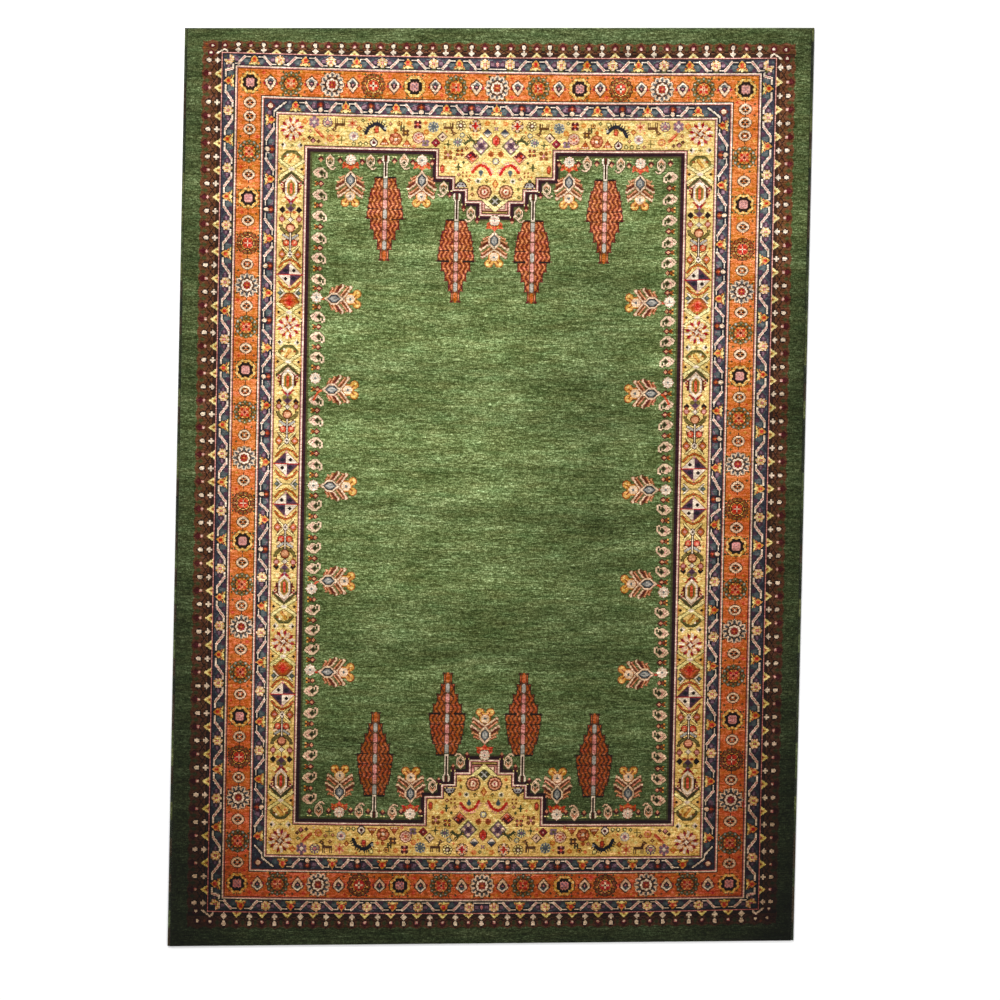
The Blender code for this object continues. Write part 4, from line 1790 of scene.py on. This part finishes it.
def selvedge(name, rng):
    """Wool wrapped round the outermost warps, its yarn changed every few turns."""
    points = np.array([vertex.co[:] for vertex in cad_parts[name].data.vertices])
    low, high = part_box(name)
    near, far = points[points[:, 1] < 0].mean(0), points[points[:, 1] > 0].mean(0)
    wraps = round(np.linalg.norm(far - near) / SELVEDGE_WRAP)
    rings = RINGS_A_WRAP * wraps + 1
    corners = wrapped_tube(near, far, (high.z - low.z) / 2, rings, rng)
    faces = tube_faces(rings)
    mesh = bpy.data.meshes.new(f"wrapped_{name}")
    mesh.from_pydata([tuple(corner) for corner in corners.reshape(-1, 3)], [], faces)
    mesh.shade_smooth()

    lots = rng.choice(len(SELVEDGE_YARNS), wraps // WRAPS_A_YARN + 2)
    shades = np.array([linear(SELVEDGE_YARNS[lot]) for lot in lots])
    counts = np.array([len(face) for face in faces])
    ring_of = np.minimum(np.arange(len(faces)) // SELVEDGE_SIDES, rings - 2)
    colours = np.ones((counts.sum(), 4))
    colours[:, :3] = shades[ring_of // (RINGS_A_WRAP * WRAPS_A_YARN)].repeat(counts, 0)
    colour_corners(mesh, colours)
    loops = np.zeros(counts.sum(), np.int32)
    mesh.loops.foreach_get("vertex_index", loops)
    map_corners(mesh, "loom", (loops % SELVEDGE_SIDES) * 0.8, (loops // SELVEDGE_SIDES) / RINGS_A_WRAP)
    return linked(f"wrapped_{name}", mesh)


pile_wool = wool("knotted_wool", 0.0012, 1.0)
back_wool = wool("woven_back", 0.0007, 0.6, sheen=0.03)
edge_wool = wool("overcast_wool", 0.0005, 0.7)

piles = pile_pieces()
for piece in piles:
    piece.data.materials.append(pile_wool)
back = knotted("woven_back", between((HALF_ACROSS, HALF_UP), NOTHING), ground_chart, facing_down=True)
back.data.materials.append(back_wool)
rng = np.random.default_rng(11)
selvedges = [selvedge(name, rng) for name in ("selvedge_left", "selvedge_right")]
for piece in selvedges:
    piece.data.materials.append(edge_wool)

for piece in [*piles, back]:
    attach(piece, "root")
    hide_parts("rug_body")
for piece, node in zip(selvedges, ("selvedge_left", "selvedge_right")):
    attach(piece, "root")
    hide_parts(node)


# ------------------------------------------------------------------ studio
def studio_floor():
    bpy.ops.mesh.primitive_grid_add(x_subdivisions=24, y_subdivisions=24, size=24, location=(0, 0, -0.0004))
    floor = bpy.context.object
    floor.name = "studio_floor"
    floor.data.materials.append(floor_material())


def soft_light(name, location, size, power):
    data = bpy.data.lights.new(name, "AREA")
    data.shape, data.size, data.energy = "DISK", size, power
    light = bpy.data.objects.new(name, data)
    light.location = location
    light.rotation_euler = (Vector((0, 0, 0)) - Vector(location)).to_track_quat("-Z", "Y").to_euler()
    bpy.context.scene.collection.objects.link(light)


CAMERA_LENS, CAMERA_SENSOR = 50, 36
VIEW_WIDTH = 3.268  # what the square frame takes in at the pile's height
CAMERA_PLACE = (0.030, -0.042)  # the rug lies a little off the photo's middle, and turned in it
CAMERA_TURN = 0.6


def overhead_camera():
    data = bpy.data.cameras.new("overhead")
    data.lens, data.sensor_width = CAMERA_LENS, CAMERA_SENSOR
    camera = bpy.data.objects.new("overhead", data)
    height = VIEW_WIDTH * CAMERA_LENS / CAMERA_SENSOR
    camera.location = (*CAMERA_PLACE, PILE_TOP + height)
    camera.rotation_euler = (0, 0, math.radians(CAMERA_TURN))
    bpy.context.scene.collection.objects.link(camera)
    bpy.context.scene.camera = camera


def studio_world():
    world = bpy.data.worlds.new("studio")
    world.use_nodes = True
    background = world.node_tree.nodes["Background"]
    background.inputs["Color"].default_value = (1, 1, 1, 1)
    background.inputs["Strength"].default_value = 0.66
    bpy.context.scene.world = world


studio_floor()
soft_light("key", (-1.6, 3.2, 4.2), 2.6, 215)
soft_light("fill", (2.0, -2.6, 4.0), 3.2, 60)
studio_world()
overhead_camera()
bpy.context.scene.view_settings.view_transform = "Standard"
